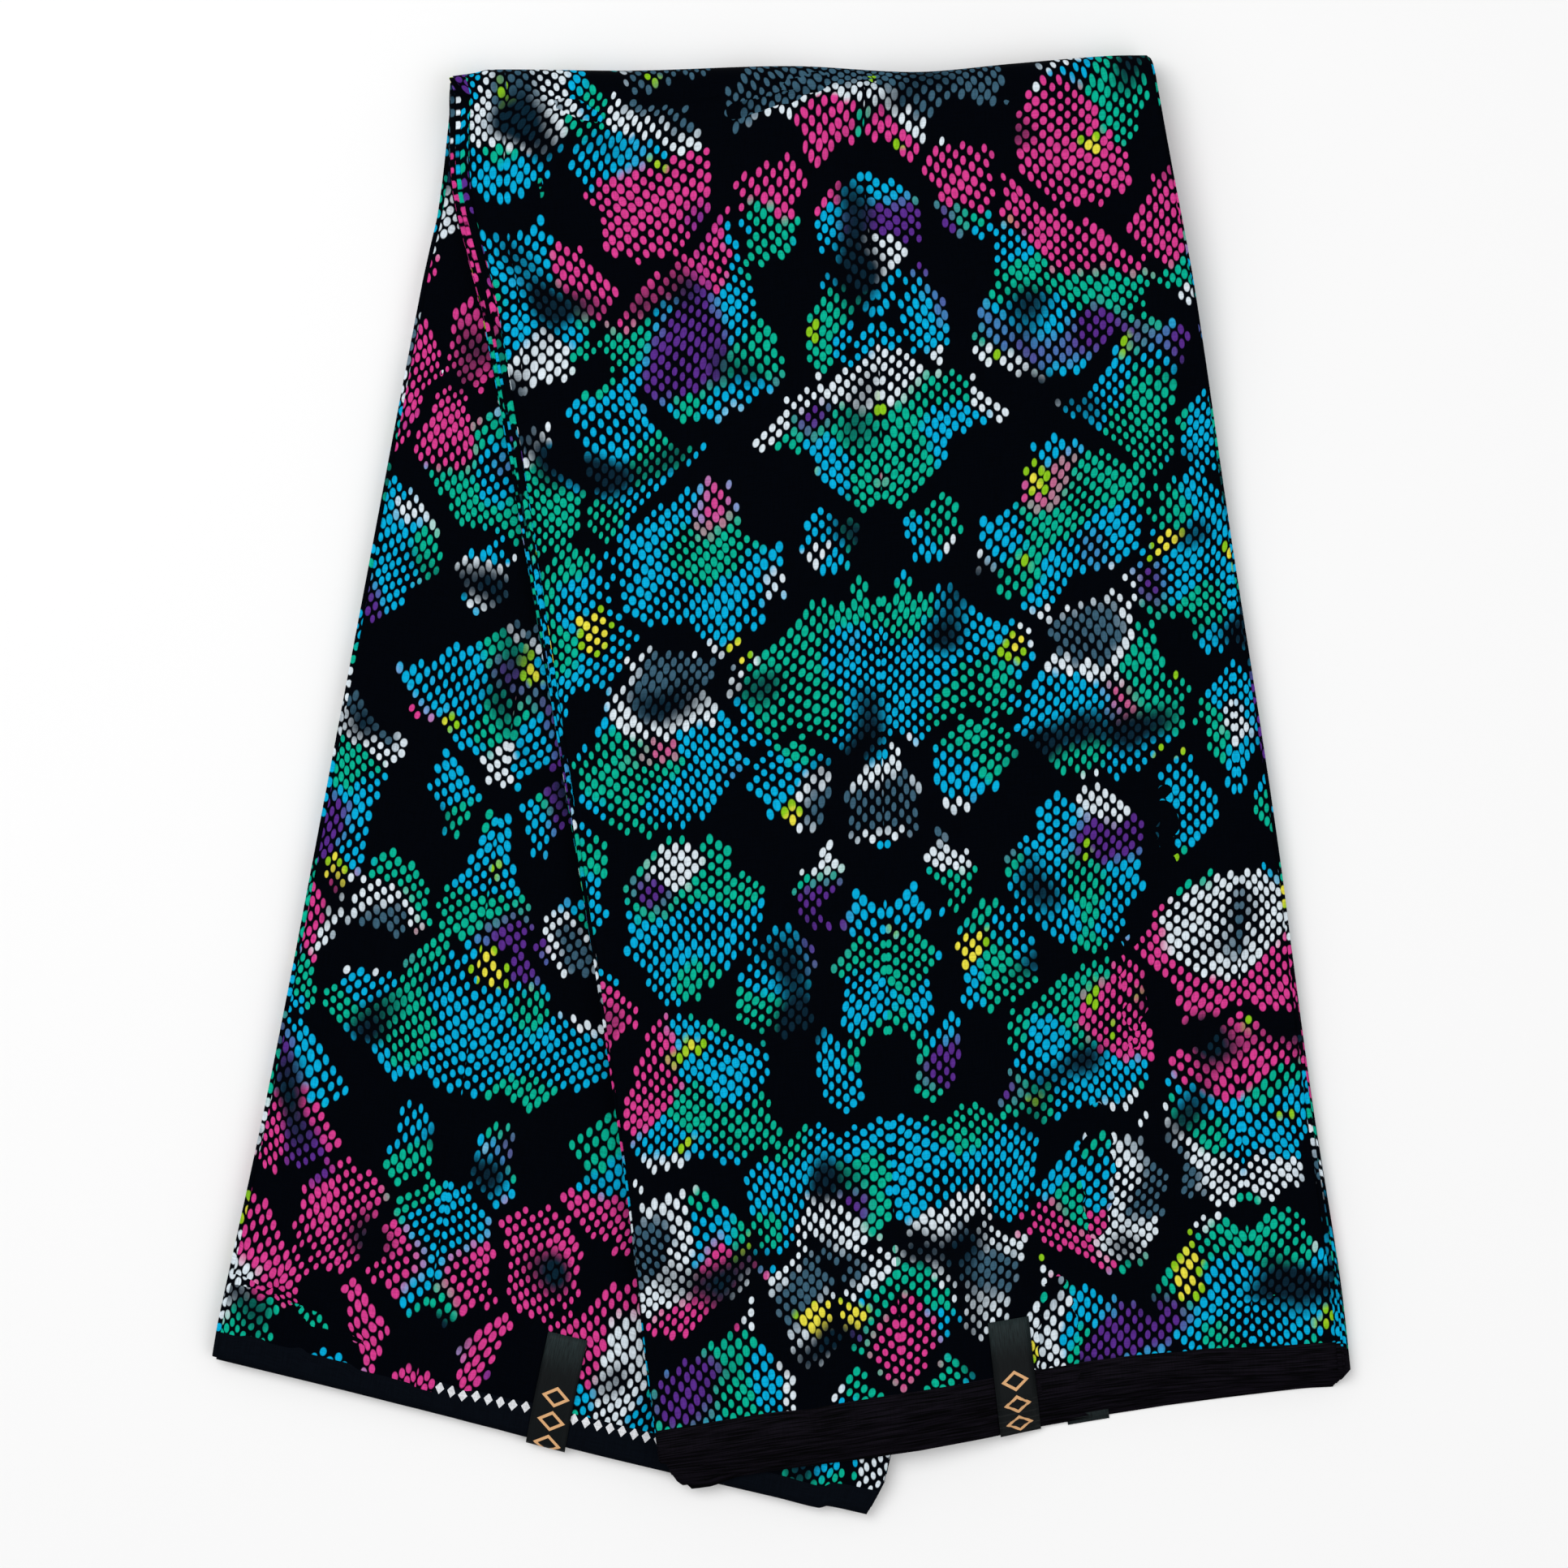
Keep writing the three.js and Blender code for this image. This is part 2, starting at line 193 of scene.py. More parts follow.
TURN_BULGE = (
    BulgeRow(0.0, 1.0),
    BulgeRow(0.018, 1.7),
    BulgeRow(0.04, 3.0),
    BulgeRow(0.25, 1.5),
    BulgeRow(0.48, 2.3),
    BulgeRow(0.66, -1.2),
    BulgeRow(0.8, 1.7),
    BulgeRow(0.94, 4.4),
    BulgeRow(1.0, 4.4),
)
LAYER_OVERHANGS = (
    0.0, 0.03, 0.05, 0.18, 0.2, 0.22, 0.36, 0.38, 0.4, 0.43,
    0.57, 0.6, 0.63, 0.75, 0.78, 0.8, 0.91, 0.96, 1.0,
)
FRONT_AXIS = (
    AxisRow(0.0, 0.575),
    AxisRow(0.25, 0.52),
    AxisRow(0.5, 0.45),
    AxisRow(0.8, 0.385),
    AxisRow(1.0, 0.36),
)
BACK_AXIS = (AxisRow(0.0, 0.23), AxisRow(0.5, 0.25), AxisRow(1.0, 0.3))
LOOSE_WAVES = (
    Wave(0.061, 0.017, 0.4),
    Wave(-0.023, 0.052, 1.9),
    Wave(0.088, -0.041, 3.1),
    Wave(0.035, 0.094, 5.0),
)
CREASES = (
    Crease(Half.FRONT, (-20.0, 281.5), (3.0, 288.5), 2.4, 3.4),
    Crease(Half.FRONT, (3.0, 288.5), (14.0, 292.6), 2.8, 3.0),
    Crease(Half.FRONT, (14.0, 292.6), (38.0, 294.4), 2.2, 3.0),
    Crease(Half.FRONT, (38.0, 294.4), (62.0, 296.5), 1.2, 4.5),
    Crease(Half.FRONT, (16.0, 278.0), (30.0, 262.0), -0.7, 7.0),
    Crease(Half.FRONT, (-104.0, 291.0), (-72.0, 275.0), 1.5, 4.2),
    Crease(Half.FRONT, (-60.0, 281.0), (-27.0, 286.5), 1.3, 3.0),
    Crease(Half.FRONT, (-122.0, 284.0), (-108.0, 234.0), -1.0, 6.5),
    Crease(Half.FRONT, (-108.0, 266.0), (-96.0, 238.0), 0.8, 5.0),
    Crease(Half.FRONT, (96.0, 292.0), (84.0, 264.0), 0.6, 6.0),
    Crease(Half.FRONT, (-118.0, 246.0), (-96.0, 190.0), 0.6, 4.5),
    Crease(Half.FRONT, (-134.0, 292.0), (-124.0, 222.0), 1.6, 7.0),
    Crease(Half.FRONT, (150.0, 262.0), (118.0, 284.0), 0.5, 6.0),
    Crease(Half.FRONT, (186.0, 40.0), (222.0, -150.0), 0.6, 7.0),
    Crease(Half.FRONT, (-40.0, -236.0), (10.0, -262.0), 0.6, 5.0),
    Crease(Half.FRONT, (172.0, -222.0), (224.0, -206.0), 0.7, 4.0),
    Crease(Half.FRONT, (-104.0, 118.0), (-88.0, 12.0), 0.4, 3.5),
    Crease(Half.BACK, (-228.0, -206.0), (-212.0, -211.0), 1.4, 3.0),
    Crease(Half.BACK, (-212.0, -211.0), (-194.0, -222.0), 2.2, 2.6),
    Crease(Half.BACK, (-194.0, -222.0), (-176.0, -232.0), 1.7, 2.4),
    Crease(Half.BACK, (-154.0, -256.0), (-136.0, -262.0), 1.2, 2.6),
    Crease(Half.BACK, (-138.0, -258.0), (-118.0, -268.0), 0.8, 2.2),
    Crease(Half.BACK, (-150.0, 190.0), (-128.0, 140.0), 0.6, 5.0),
    Crease(Half.BACK, (-206.0, -60.0), (-180.0, -120.0), 0.5, 6.0),
    Crease(Half.BACK, (128.0, 196.0), (98.0, 150.0), 0.7, 5.0),
    Crease(Half.BACK, (96.0, 40.0), (60.0, -20.0), 0.4, 6.5),
)


def read_table(rows: tuple, key: str, column: str, at: Array | float) -> Array:
    """Reads one column of a table between its rows, on a smooth curve through them.

    Args:
        rows: the table, sorted by key.
        key: the column that says where each row is.
        column: the column to read.
        at: the places to read it at.

    Returns:
        The column's value at each place, straight on past the first and last rows.
    """
    keys = np.array([getattr(row, key) for row in rows])
    values = np.array([getattr(row, column) for row in rows])
    before = np.maximum(np.arange(len(rows)) - 1, 0)
    after = np.minimum(np.arange(len(rows)) + 1, len(rows) - 1)
    slopes = (values[after] - values[before]) / (keys[after] - keys[before])
    at = np.asarray(at, dtype=float)
    i = np.clip(np.searchsorted(keys, at, side="right") - 1, 0, len(rows) - 2)
    span = keys[i + 1] - keys[i]
    u = (at - keys[i]) / span
    straight = values[i] + (values[i + 1] - values[i]) * u
    curved = (
        (2 * u**3 - 3 * u**2 + 1) * values[i]
        + (u**3 - 2 * u**2 + u) * span * slopes[i]
        + (3 * u**2 - 2 * u**3) * values[i + 1]
        + (u**3 - u**2) * span * slopes[i + 1]
    )
    return np.where((u < 0) | (u > 1), straight, curved)


def smooth_step(share: Array) -> Array:
    """Returns 0 below 0, 1 above 1 and a smooth rise between them."""
    s = np.clip(share, 0.0, 1.0)
    return s * s * (3 - 2 * s)


# -------------------------------------------------------------------------------- the bundle's shape
@dataclass(frozen=True)
class Bundle:
    """Where every place on the folded cloth lies. All lengths are in millimetres.

    The back half's end sinks by tip_droop over droop_length. Past that half's edge the front half comes
    down to the table, over ramp_length from ramp_start. The front half's hidden layers lie off to the side,
    by top_drift at the fold and end_drift at the selvedges, fully so from drift_depth down. A crease fades
    over crease_reach of depth, and the last of tip_leaves groups of layers goes out furthest.
    """

    panel_width: float = 287.0
    cloth_width: float = 1160.0
    layers: int = 19
    half_depth: float = 9.3
    gap: float = 0.3
    cloth_thickness: float = 0.28
    tip_droop: float = 3.0
    droop_length: float = 25.0
    front_droop: float = 0.7
    ramp_start: float = 17.0
    ramp_length: float = 56.0
    top_drift: float = -8.4
    end_drift: float = 3.6
    drift_depth: float = 4.2
    corner_width: float = 0.3
    covered_from: float = 0.6
    tip_leaves: int = 8
    selvedge_bow_power: int = 8
    crease_reach: float = 4.0
    turn_dent: float = 0.6
    crease_take_up: float = 1.6
    take_up_reach: float = 28.0
    undulation: float = 0.28

    @property
    def pitch(self) -> float:
        """Height of one layer with the air beside it."""
        return self.half_depth / self.layers

    @property
    def turn_radius(self) -> float:
        """Radius of the outer layer where the bundle is folded across."""
        return self.half_depth + self.gap / 2

    def depth_of(self, layer: Array) -> Array:
        """Depth of a layer's middle below the bundle's outer face."""
        return (layer + 0.5) * self.pitch

    def overhang_of(self, layer: Array) -> Array:
        """How far a layer's selvedge is past the outer layer's, from 0 to 1."""
        return np.interp(layer, np.arange(self.layers), LAYER_OVERHANGS)

    def drift_share(self, depth: Array) -> Array:
        """How much of the front half's sideways drift a depth has."""
        return smooth_step(depth / self.drift_depth)

    def edges(self, half: Half) -> tuple:
        """The table of a half's side edges."""
        return FRONT_EDGES if half is Half.FRONT else BACK_EDGES

    def end(self, half: Half) -> tuple:
        """The table of a half's end."""
        return FRONT_END if half is Half.FRONT else BACK_END

    def way(self, half: Half) -> Array:
        """Finds which way a half runs.

        Args:
            half: the half.

        Returns:
            The unit vector in plan along it, away from the fold.
        """
        first, last = self.edges(half)[0], self.edges(half)[-1]
        run = np.array(
            [
                last.left_x + last.right_x - first.left_x - first.right_x,
                last.left_y + last.right_y - first.left_y - first.right_y,
            ]
        )
        return run / np.linalg.norm(run)

    def length(self, half: Half, across: Array) -> Array:
        """Length of a half from the fold to its outer selvedge.

        Args:
            half: the half.
            across: share of the width, from the left edge.

        Returns:
            The length at that place across it.
        """
        first, last = self.edges(half)[0], self.edges(half)[-1]
        left = math.hypot(last.left_x - first.left_x, last.left_y - first.left_y)
        right = math.hypot(last.right_x - first.right_x, last.right_y - first.right_y)
        return left + (right - left) * across

    def plan(self, half: Half, across: Array, along: Array) -> tuple[Array, Array]:
        """Finds places in plan on a half.

        Args:
            half: the half.
            across: share of the width, from its left edge to its right one.
            along: share of the length, from the fold to the outer selvedge.

        Returns:
            Their x and their y.
        """
        rows = self.edges(half)
        left_x = read_table(rows, "along", "left_x", along)
        left_y = read_table(rows, "along", "left_y", along)
        right_x = read_table(rows, "along", "right_x", along)
        right_y = read_table(rows, "along", "right_y", along)
        return left_x + (right_x - left_x) * across, left_y + (right_y - left_y) * across

    def droop(self, x: Array, y: Array) -> Array:
        """How far the end of the back half sinks.

        Args:
            x: places in plan.
            y: places in plan.

        Returns:
            The drop at each place.
        """
        last = BACK_EDGES[-1]
        from_outer = self._beside((last.left_x, last.left_y), (last.right_x, last.right_y), x, y)
        inside = from_outer + BACK_END[0].reach
        return self.tip_droop * np.maximum(0.0, 1 - inside / self.droop_length) ** 2

    def bed(self, x: Array, y: Array) -> Array:
        """Height of what the front half lies on: the back half, then a ramp down to the table.

        Args:
            x: places in plan.
            y: places in plan.

        Returns:
            The height at each place.
        """
        first, last = BACK_EDGES[0], BACK_EDGES[-1]
        past = self._beside((first.right_x, first.right_y), (last.right_x, last.right_y), x, y)
        on_back = self.half_depth + self.gap - self.front_droop * self.droop(x, y)
        return on_back * (1 - smooth_step((past - self.ramp_start) / self.ramp_length))

    @staticmethod
    def _beside(start: tuple, end: tuple, x: Array, y: Array) -> Array:
        """Distance from the line through two points.

        Args:
            start: the first point in plan.
            end: the second one.
            x: places in plan.
            y: places in plan.

        Returns:
            Each place's distance, positive on the line's left-hand side.
        """
        run = np.array(end) - np.array(start)
        run = run / np.linalg.norm(run)
        return run[0] * (y - start[1]) - run[1] * (x - start[0])

    @staticmethod
    def _from_crease(crease: Crease, x: Array, y: Array) -> tuple[Array, Array, Array]:
        """Where places in plan lie beside a crease.

        Args:
            crease: the crease.
            x: places in plan.
            y: places in plan.

        Returns:
            The crease's unit vector, each place's distance to the left of its line, and its distance past
            either end of it.
        """
        start, run = np.array(crease.start), np.array(crease.end) - np.array(crease.start)
        length = np.linalg.norm(run)
        run = run / length
        along = (x - start[0]) * run[0] + (y - start[1]) * run[1]
        beside = run[0] * (y - start[1]) - run[1] * (x - start[0])
        return run, beside, along - np.clip(along, 0.0, length)

    def take_up(self, half: Half, x: Array, y: Array) -> Array:
        """How far creases have drawn the cloth aside, so that more of it goes down into them.

        Args:
            half: the half whose upper face it is.
            x: places in plan.
            y: places in plan.

        Returns:
            The shift of the cloth under each place, with x and y on the last axis.
        """
        shift = np.zeros((*np.broadcast(x, y).shape, 2))
        for crease in CREASES:
            if crease.half is half:
                run, beside, past = self._from_crease(crease, x, y)
                near = np.exp(-((past / crease.width) ** 2) - np.abs(beside) / self.take_up_reach)
                drawn = abs(crease.depth) * self.crease_take_up * np.tanh(beside / crease.width) * near
                shift += drawn[..., None] * np.array([-run[1], run[0]])
        return shift

    def relief(self, half: Half, x: Array, y: Array) -> Array:
        """Height that creases and loose laying give to a half's upper face.

        Args:
            half: the half whose upper face it is.
            x: places in plan.
            y: places in plan.

        Returns:
            The height at each place, below zero in a crease.
        """
        height = np.zeros(np.broadcast(x, y).shape)
        for crease in CREASES:
            if crease.half is half:
                _, beside, past = self._from_crease(crease, x, y)
                height -= crease.depth * np.exp(-(beside**2 + past**2) / crease.width**2)
        waves = [np.sin(wave.by_x * x + wave.by_y * y + wave.phase) for wave in LOOSE_WAVES]
        loose = sum(waves) / len(waves)
        if half is Half.BACK:
            # The front half lies on it, so its face only sinks.
            loose = loose - 1.0
        return height + self.undulation * loose

    def on_half(
        self, half: Half, across: Array, inset: Array, depth: Array, along: Array, overhang: Array
    ) -> Array:
        """Places on a half of the bundle.

        Args:
            half: the half.
            across: share of the width, from the left edge.
            inset: further shift to the right, in millimetres.
            depth: depth below the outer face, which is the front half's top and the back half's underside.
            along: share of the length, from the fold to the outer selvedge.
            overhang: from 0 at the outer selvedge to 1 at the innermost one.

        Returns:
            The places, with x, y and z on the last axis, in millimetres.
        """
        rows = self.end(half)
        place = np.clip(across, 0.0, 1.0)
        x, y = self.plan(half, across + inset / self.panel_width, along)
        way = self.way(half)
        in_tip = np.clip(overhang * self.tip_leaves - self.tip_leaves + 1, 0.0, 1.0)
        tip = read_table(rows, "across", "tip", place) * in_tip
        reach = read_table(rows, "across", "reach", place) * overhang + tip
        tip_lean = read_table(rows, "across", "tip_lean", place) * in_tip
        x = x + way[0] * reach + read_table(rows, "across", "lean", place) * overhang + tip_lean
        y = y + way[1] * reach + read_table(rows, "across", "bow", place) * along**self.selvedge_bow_power
        if half is Half.FRONT:
            drift = self.top_drift + (self.end_drift - self.top_drift) * along
            bed = self.bed(x + drift, y)
            x = x + drift * self.drift_share(depth)
            z = bed + self.half_depth - depth
            z = z + self.relief(half, x, y) * np.exp(-depth / self.crease_reach)
        else:
            z = depth * (1 - self.droop(x, y) / self.half_depth)
            z = z + self.relief(half, x, y) * np.exp((depth - self.half_depth) / self.crease_reach)
        return np.stack(np.broadcast_arrays(x, y, z), axis=-1)

    def in_turn(self, across: Array, inset: Array, depth: Array, turn: Array) -> Array:
        """Places in the turn at the fold.

        Args:
            across: share of the width, from the left edge.
            inset: further shift to the right, in millimetres.
            depth: depth below the outer face.
            turn: share of the turn, from the back half to the front half.

        Returns:
            The places, with x, y and z on the last axis, in millimetres.
        """
        shifted = across + inset / self.panel_width
        start_x, start_y = self.plan(Half.BACK, shifted, np.zeros_like(turn))
        end_x, end_y = self.plan(Half.FRONT, shifted, np.zeros_like(turn))
        radius = self.turn_radius - depth
        angle = math.pi * turn
        covered = smooth_step(depth / self.pitch - self.covered_from)
        share = self.drift_share(depth)
        share = share + (covered - share) * np.exp(-((across / self.corner_width) ** 2)) * np.sin(angle)
        x = start_x + (end_x + self.top_drift * share - start_x) * turn
        y = start_y + (end_y - start_y) * turn
        bulge = 1 + read_table(TURN_BULGE, "across", "bulge", np.clip(across, 0.0, 1.0)) / self.turn_radius
        y = y + radius * bulge * np.sin(angle)
        creased = self.relief(Half.FRONT, x, y - radius * np.sin(angle) * self.turn_dent)
        dent = creased * np.exp(-depth / self.crease_reach)
        z = self.turn_radius - radius * np.cos(angle) + dent * smooth_step(2 * turn - 1)
        return np.stack(np.broadcast_arrays(x, y, z), axis=-1)


BUNDLE = Bundle()


# -------------------------------------------------------------------------------- making sheets
@dataclass
class Grid:
    """A sheet's middle surface: rows of places along it, with where each is on the printed cloth."""

    points: Array
    print_xy: Array
    row_weights: Array
    column_weights: Array


def grid_normals(points: Array) -> Array:
    """Finds the unit normals of a grid of points.

    Args:
        points: the points, by row and column.

    Returns:
        A normal for each of them.
    """
    by_column = np.gradient(points, axis=1)
    by_row = np.gradient(points, axis=0)
    normals = np.cross(by_column, by_row)
    return normals / np.maximum(np.linalg.norm(normals, axis=-1, keepdims=True), TINY)


def share_out(weights: Array, low: float, high: float) -> Array:
    """Spreads places from low to high, a step for each weight, and returns them with both ends."""
    steps = np.concatenate([[0.0], np.cumsum(weights)])
    return low + (high - low) * steps / steps[-1]


def sheet_object(name: str, grid: Grid, thickness: float) -> bpy.types.Object:
    """Makes a closed thin sheet round a grid of points.

    Args:
        name: name of the piece.
        grid: its middle surface, in millimetres.
        thickness: its thickness, in millimetres.

    Returns:
        The new object, with a print map and a map to bake through.
    """
    rows, columns = grid.points.shape[:2]
    normals = grid_normals(grid.points)
    faces_up = grid.points + normals * thickness / 2
    faces_down = grid.points - normals * thickness / 2
    vertices = np.concatenate([faces_up.reshape(-1, 3), faces_down.reshape(-1, 3)]) * MM
    index = np.arange(rows * columns).reshape(rows, columns)
    under = index + rows * columns
    a, b, c, d = index[:-1, :-1], index[:-1, 1:], index[1:, 1:], index[1:, :-1]
    upper = np.stack([a, b, c, d], axis=-1).reshape(-1, 4)
    lower = upper[:, ::-1] + rows * columns
    rims = [
        np.stack([index[0, 1:], index[0, :-1], under[0, :-1], under[0, 1:]], axis=-1),
        np.stack([index[-1, :-1], index[-1, 1:], under[-1, 1:], under[-1, :-1]], axis=-1),
        np.stack([index[:-1, 0], index[1:, 0], under[1:, 0], under[:-1, 0]], axis=-1),
        np.stack([index[1:, -1], index[:-1, -1], under[:-1, -1], under[1:, -1]], axis=-1),
    ]
    faces = np.concatenate([upper, lower, *rims])

    mesh = bpy.data.meshes.new(name)
    mesh.vertices.add(len(vertices))
    mesh.vertices.foreach_set("co", vertices.ravel())
    mesh.loops.add(faces.size)
    mesh.loops.foreach_set("vertex_index", faces.ravel().astype(np.int32))
    mesh.polygons.add(len(faces))
    mesh.polygons.foreach_set("loop_start", np.arange(0, faces.size, 4, dtype=np.int32))
    mesh.polygons.foreach_set("use_smooth", np.ones(len(faces), dtype=bool))
    mesh.update(calc_edges=True)

    printed = np.tile(grid.print_xy.reshape(-1, 2) * MM, (2, 1))[faces.ravel()]
    mesh.uv_layers.new(name=PRINT_MAP).uv.foreach_set("vector", printed.astype(np.float32).ravel())
    bake = mesh.uv_layers.new(name=BAKE_MAP)
    bake.uv.foreach_set("vector", bake_places(grid, upper, lower, rims).astype(np.float32).ravel())

    made = bpy.data.objects.new(name, mesh)
    bpy.context.scene.collection.objects.link(made)
    return made


# Where the parts of a sheet lie on the map that it is baked through, as shares of the map.
BAKE_MARGIN = 0.004
UPPER_BAND = (0.004, 0.86)
LOWER_BAND = (0.872, 0.955)
RIM_BANDS = ((0.962, 0.966), (0.972, 0.976), (0.982, 0.986), (0.992, 0.996))


def bake_places(grid: Grid, upper: Array, lower: Array, rims: list[Array]) -> Array:
    """Lays out a sheet's faces for baking, with most of the map for the upper face.

    Args:
        grid: the sheet's grid, whose weights say how much room each row and column gets.
        upper: corners of the upper faces.
        lower: corners of the lower faces.
        rims: corners of the faces along each edge.

    Returns:
        A place on the map for each corner of each face, in the mesh's order.
    """
    rows, columns = grid.points.shape[:2]
    u = share_out(grid.column_weights, BAKE_MARGIN, 1 - BAKE_MARGIN)
    v = share_out(grid.row_weights, 0.0, 1.0)
    flat_u = np.tile(u, rows)
    flat_v = np.repeat(v, columns)
    both_u = np.tile(flat_u, 2)
    both_v = np.tile(flat_v, 2)
    count = rows * columns

    def place(corners: Array, low: float, high: float) -> Array:
        """Puts faces in the band of the map from low to high."""
        return np.stack([both_u[corners], low + (high - low) * both_v[corners]], axis=-1).reshape(-1, 2)

    def rim_place(corners: Array, lengthwise: Array, low: float, high: float) -> Array:
        """Puts a rim's faces in a narrow band, running with lengthwise."""
        return np.stack([lengthwise[corners], np.where(corners < count, high, low)], axis=-1).reshape(-1, 2)

    along_rows = BAKE_MARGIN + (1 - 2 * BAKE_MARGIN) * both_v
    lengthwise = (both_u, both_u, along_rows, along_rows)
    placed_rims = [rim_place(rim, run, *band) for rim, run, band in zip(rims, lengthwise, RIM_BANDS)]
    return np.concatenate([place(upper, *UPPER_BAND), place(lower, *LOWER_BAND), *placed_rims])


# -------------------------------------------------------------------------------- finishes
class Kind(Enum):
    """The kinds of node that the finishes are made of, each with Blender's name for it."""

    BACKGROUND = "ShaderNodeBackground"
    BUMP = "ShaderNodeBump"
    CHANCE = "ShaderNodeTexWhiteNoise"
    JOIN = "ShaderNodeCombineXYZ"
    MAPPING = "ShaderNodeMapping"
    MATH = "ShaderNodeMath"
    MIX = "ShaderNodeMix"
    NOISE = "ShaderNodeTexNoise"
    PRINCIPLED = "ShaderNodeBsdfPrincipled"
    RAMP = "ShaderNodeValToRGB"
    RANGE = "ShaderNodeMapRange"
    SPLIT = "ShaderNodeSeparateXYZ"
    SURFACE_OUTPUT = "ShaderNodeOutputMaterial"
    UV_MAP = "ShaderNodeUVMap"
    VECTOR_MATH = "ShaderNodeVectorMath"
    WORLD_OUTPUT = "ShaderNodeOutputWorld"


# A mix node has sockets of the same name for vectors and for colours, so they are told apart by number.
VECTOR_A, VECTOR_B, VECTOR_OUT = 4, 5, 1
COLOUR_A, COLOUR_B, COLOUR_OUT = 6, 7, 2


def linear(hex_colour: str) -> tuple[float, float, float, float]:
    """Turns an sRGB colour into Blender's linear one.

    Args:
        hex_colour: the sRGB colour, such as '#1fa2d8'.

    Returns:
        Linear red, green and blue, and full alpha.
    """
    parts = [int(hex_colour[i : i + 2], 16) / 255 for i in (1, 3, 5)]
    red, green, blue = (p / 12.92 if p <= 0.04045 else ((p + 0.055) / 1.055) ** 2.4 for p in parts)
    return red, green, blue, 1.0


def add_node(tree: Tree, kind: Kind, inputs: dict | None = None, **settings: object) -> Node:
    """Adds a node to a tree.

    Args:
        tree: the node tree.
        kind: the kind of node.
        inputs: a value, or an output socket to link, for each input by name or number.
        **settings: values for the node's own properties.

    Returns:
        The new node.
    """
    node = tree.nodes.new(kind.value)
    for key, value in settings.items():
        setattr(node, key, value)
    for key, value in (inputs or {}).items():
        if isinstance(value, Socket):
            tree.links.new(value, node.inputs[key])
        else:
            node.inputs[key].default_value = value
    return node


def new_material(name: str) -> tuple[bpy.types.Material, Tree]:
    """Makes an empty node material.

    Args:
        name: its name.

    Returns:
        The material and its node tree.
    """
    material = bpy.data.materials.new(name)
    material.use_nodes = True
    material.node_tree.nodes.clear()
    return material, material.node_tree


def set_ramp(node: Node, stops: tuple) -> None:
    """Gives a colour ramp its stops.

    Args:
        node: the ramp's node.
        stops: a place from 0 to 1 and an sRGB hex colour for each stop.
    """
    elements = node.color_ramp.elements
    while len(elements) > 1:
        elements.remove(elements[-1])
    elements[0].position, elements[0].color = stops[0][0], linear(stops[0][1])
    for place, colour in stops[1:]:
        elements.new(place).color = linear(colour)


@dataclass(frozen=True)
class Patch:
    """A patch of scales in the half repeat, in millimetres from mirror line A and the repeat's foot."""

    form: PatchForm
    x: float
    y: float
    half_width: float
    half_height: float
    tilt: float = 0.0

    @property
    def size(self) -> float:
        """The patch's mean half size."""
        return math.sqrt(self.half_width * self.half_height)


FAR = 1000.0  # Further than any patch, in millimetres.
OVAL, KITE, BARE = PatchForm.OVAL, PatchForm.KITE, PatchForm.BARE
PATCHES = (
    # On mirror line A: saddles with pointed feet.
    Patch(OVAL, 0.0, 98.0, 54.0, 34.0),
    Patch(KITE, 0.0, 60.0, 22.0, 50.0),
    Patch(KITE, 36.0, 66.0, 16.0, 34.0, 10.0),
    Patch(KITE, 0.0, 196.0, 30.0, 34.0),
    Patch(KITE, 44.0, 188.0, 28.0, 20.0, -30.0),
    Patch(OVAL, 0.0, 312.0, 52.0, 38.0),
    Patch(KITE, 0.0, 266.0, 18.0, 44.0),
    Patch(KITE, 35.0, 276.0, 15.0, 30.0, 12.0),
    Patch(KITE, 0.0, 414.0, 40.0, 36.0),
    # Leaves in pairs between the saddles.
    Patch(KITE, 19.0, 148.0, 8.0, 17.0, -10.0),
    Patch(KITE, 24.0, 233.0, 8.0, 15.0, 12.0),
    Patch(KITE, 20.0, 368.0, 8.0, 15.0, -8.0),
    Patch(KITE, 20.0, 8.0, 8.0, 17.0, 12.0),
    # Between the mirror lines.
    Patch(KITE, 74.0, 12.0, 34.0, 42.0, 18.0),
    Patch(OVAL, 92.0, 84.0, 25.0, 35.0, -16.0),
    Patch(KITE, 80.0, 150.0, 36.0, 40.0, 28.0),
    Patch(OVAL, 86.0, 224.0, 27.0, 34.0, -22.0),
    Patch(KITE, 92.0, 294.0, 34.0, 42.0, 12.0),
    Patch(OVAL, 78.0, 364.0, 28.0, 30.0, -34.0),
    Patch(KITE, 104.0, 416.0, 26.0, 32.0, 8.0),
    # On mirror line B.
    Patch(KITE, 147.0, 36.0, 36.0, 42.0),
    Patch(KITE, 147.0, 108.0, 38.0, 46.0),
    Patch(OVAL, 147.0, 184.0, 36.0, 33.0),
    Patch(KITE, 124.0, 242.0, 16.0, 22.0, -14.0),
    Patch(KITE, 147.0, 270.0, 14.0, 30.0),
    Patch(OVAL, 147.0, 342.0, 38.0, 34.0),
    Patch(KITE, 147.0, 406.0, 24.0, 34.0),
    # Bare ground, in pointed blots beside the leaves and the mirror lines.
    Patch(BARE, 0.0, 150.0, 6.0, 13.0),
    Patch(BARE, 40.0, 20.0, 6.0, 12.0, -16.0),
    Patch(BARE, 42.0, 145.0, 7.0, 13.0, 30.0),
    Patch(BARE, 0.0, 236.0, 7.0, 10.0),
    Patch(BARE, 46.0, 244.0, 8.0, 10.0, -20.0),
    Patch(BARE, 0.0, 366.0, 5.0, 13.0),
    Patch(BARE, 42.0, 392.0, 8.0, 9.0, 24.0),
    Patch(BARE, 121.0, 72.0, 6.0, 11.0, 20.0),
    Patch(BARE, 118.0, 306.0, 7.0, 12.0, -24.0),
    Patch(BARE, 147.0, 228.0, 8.0, 9.0),
)


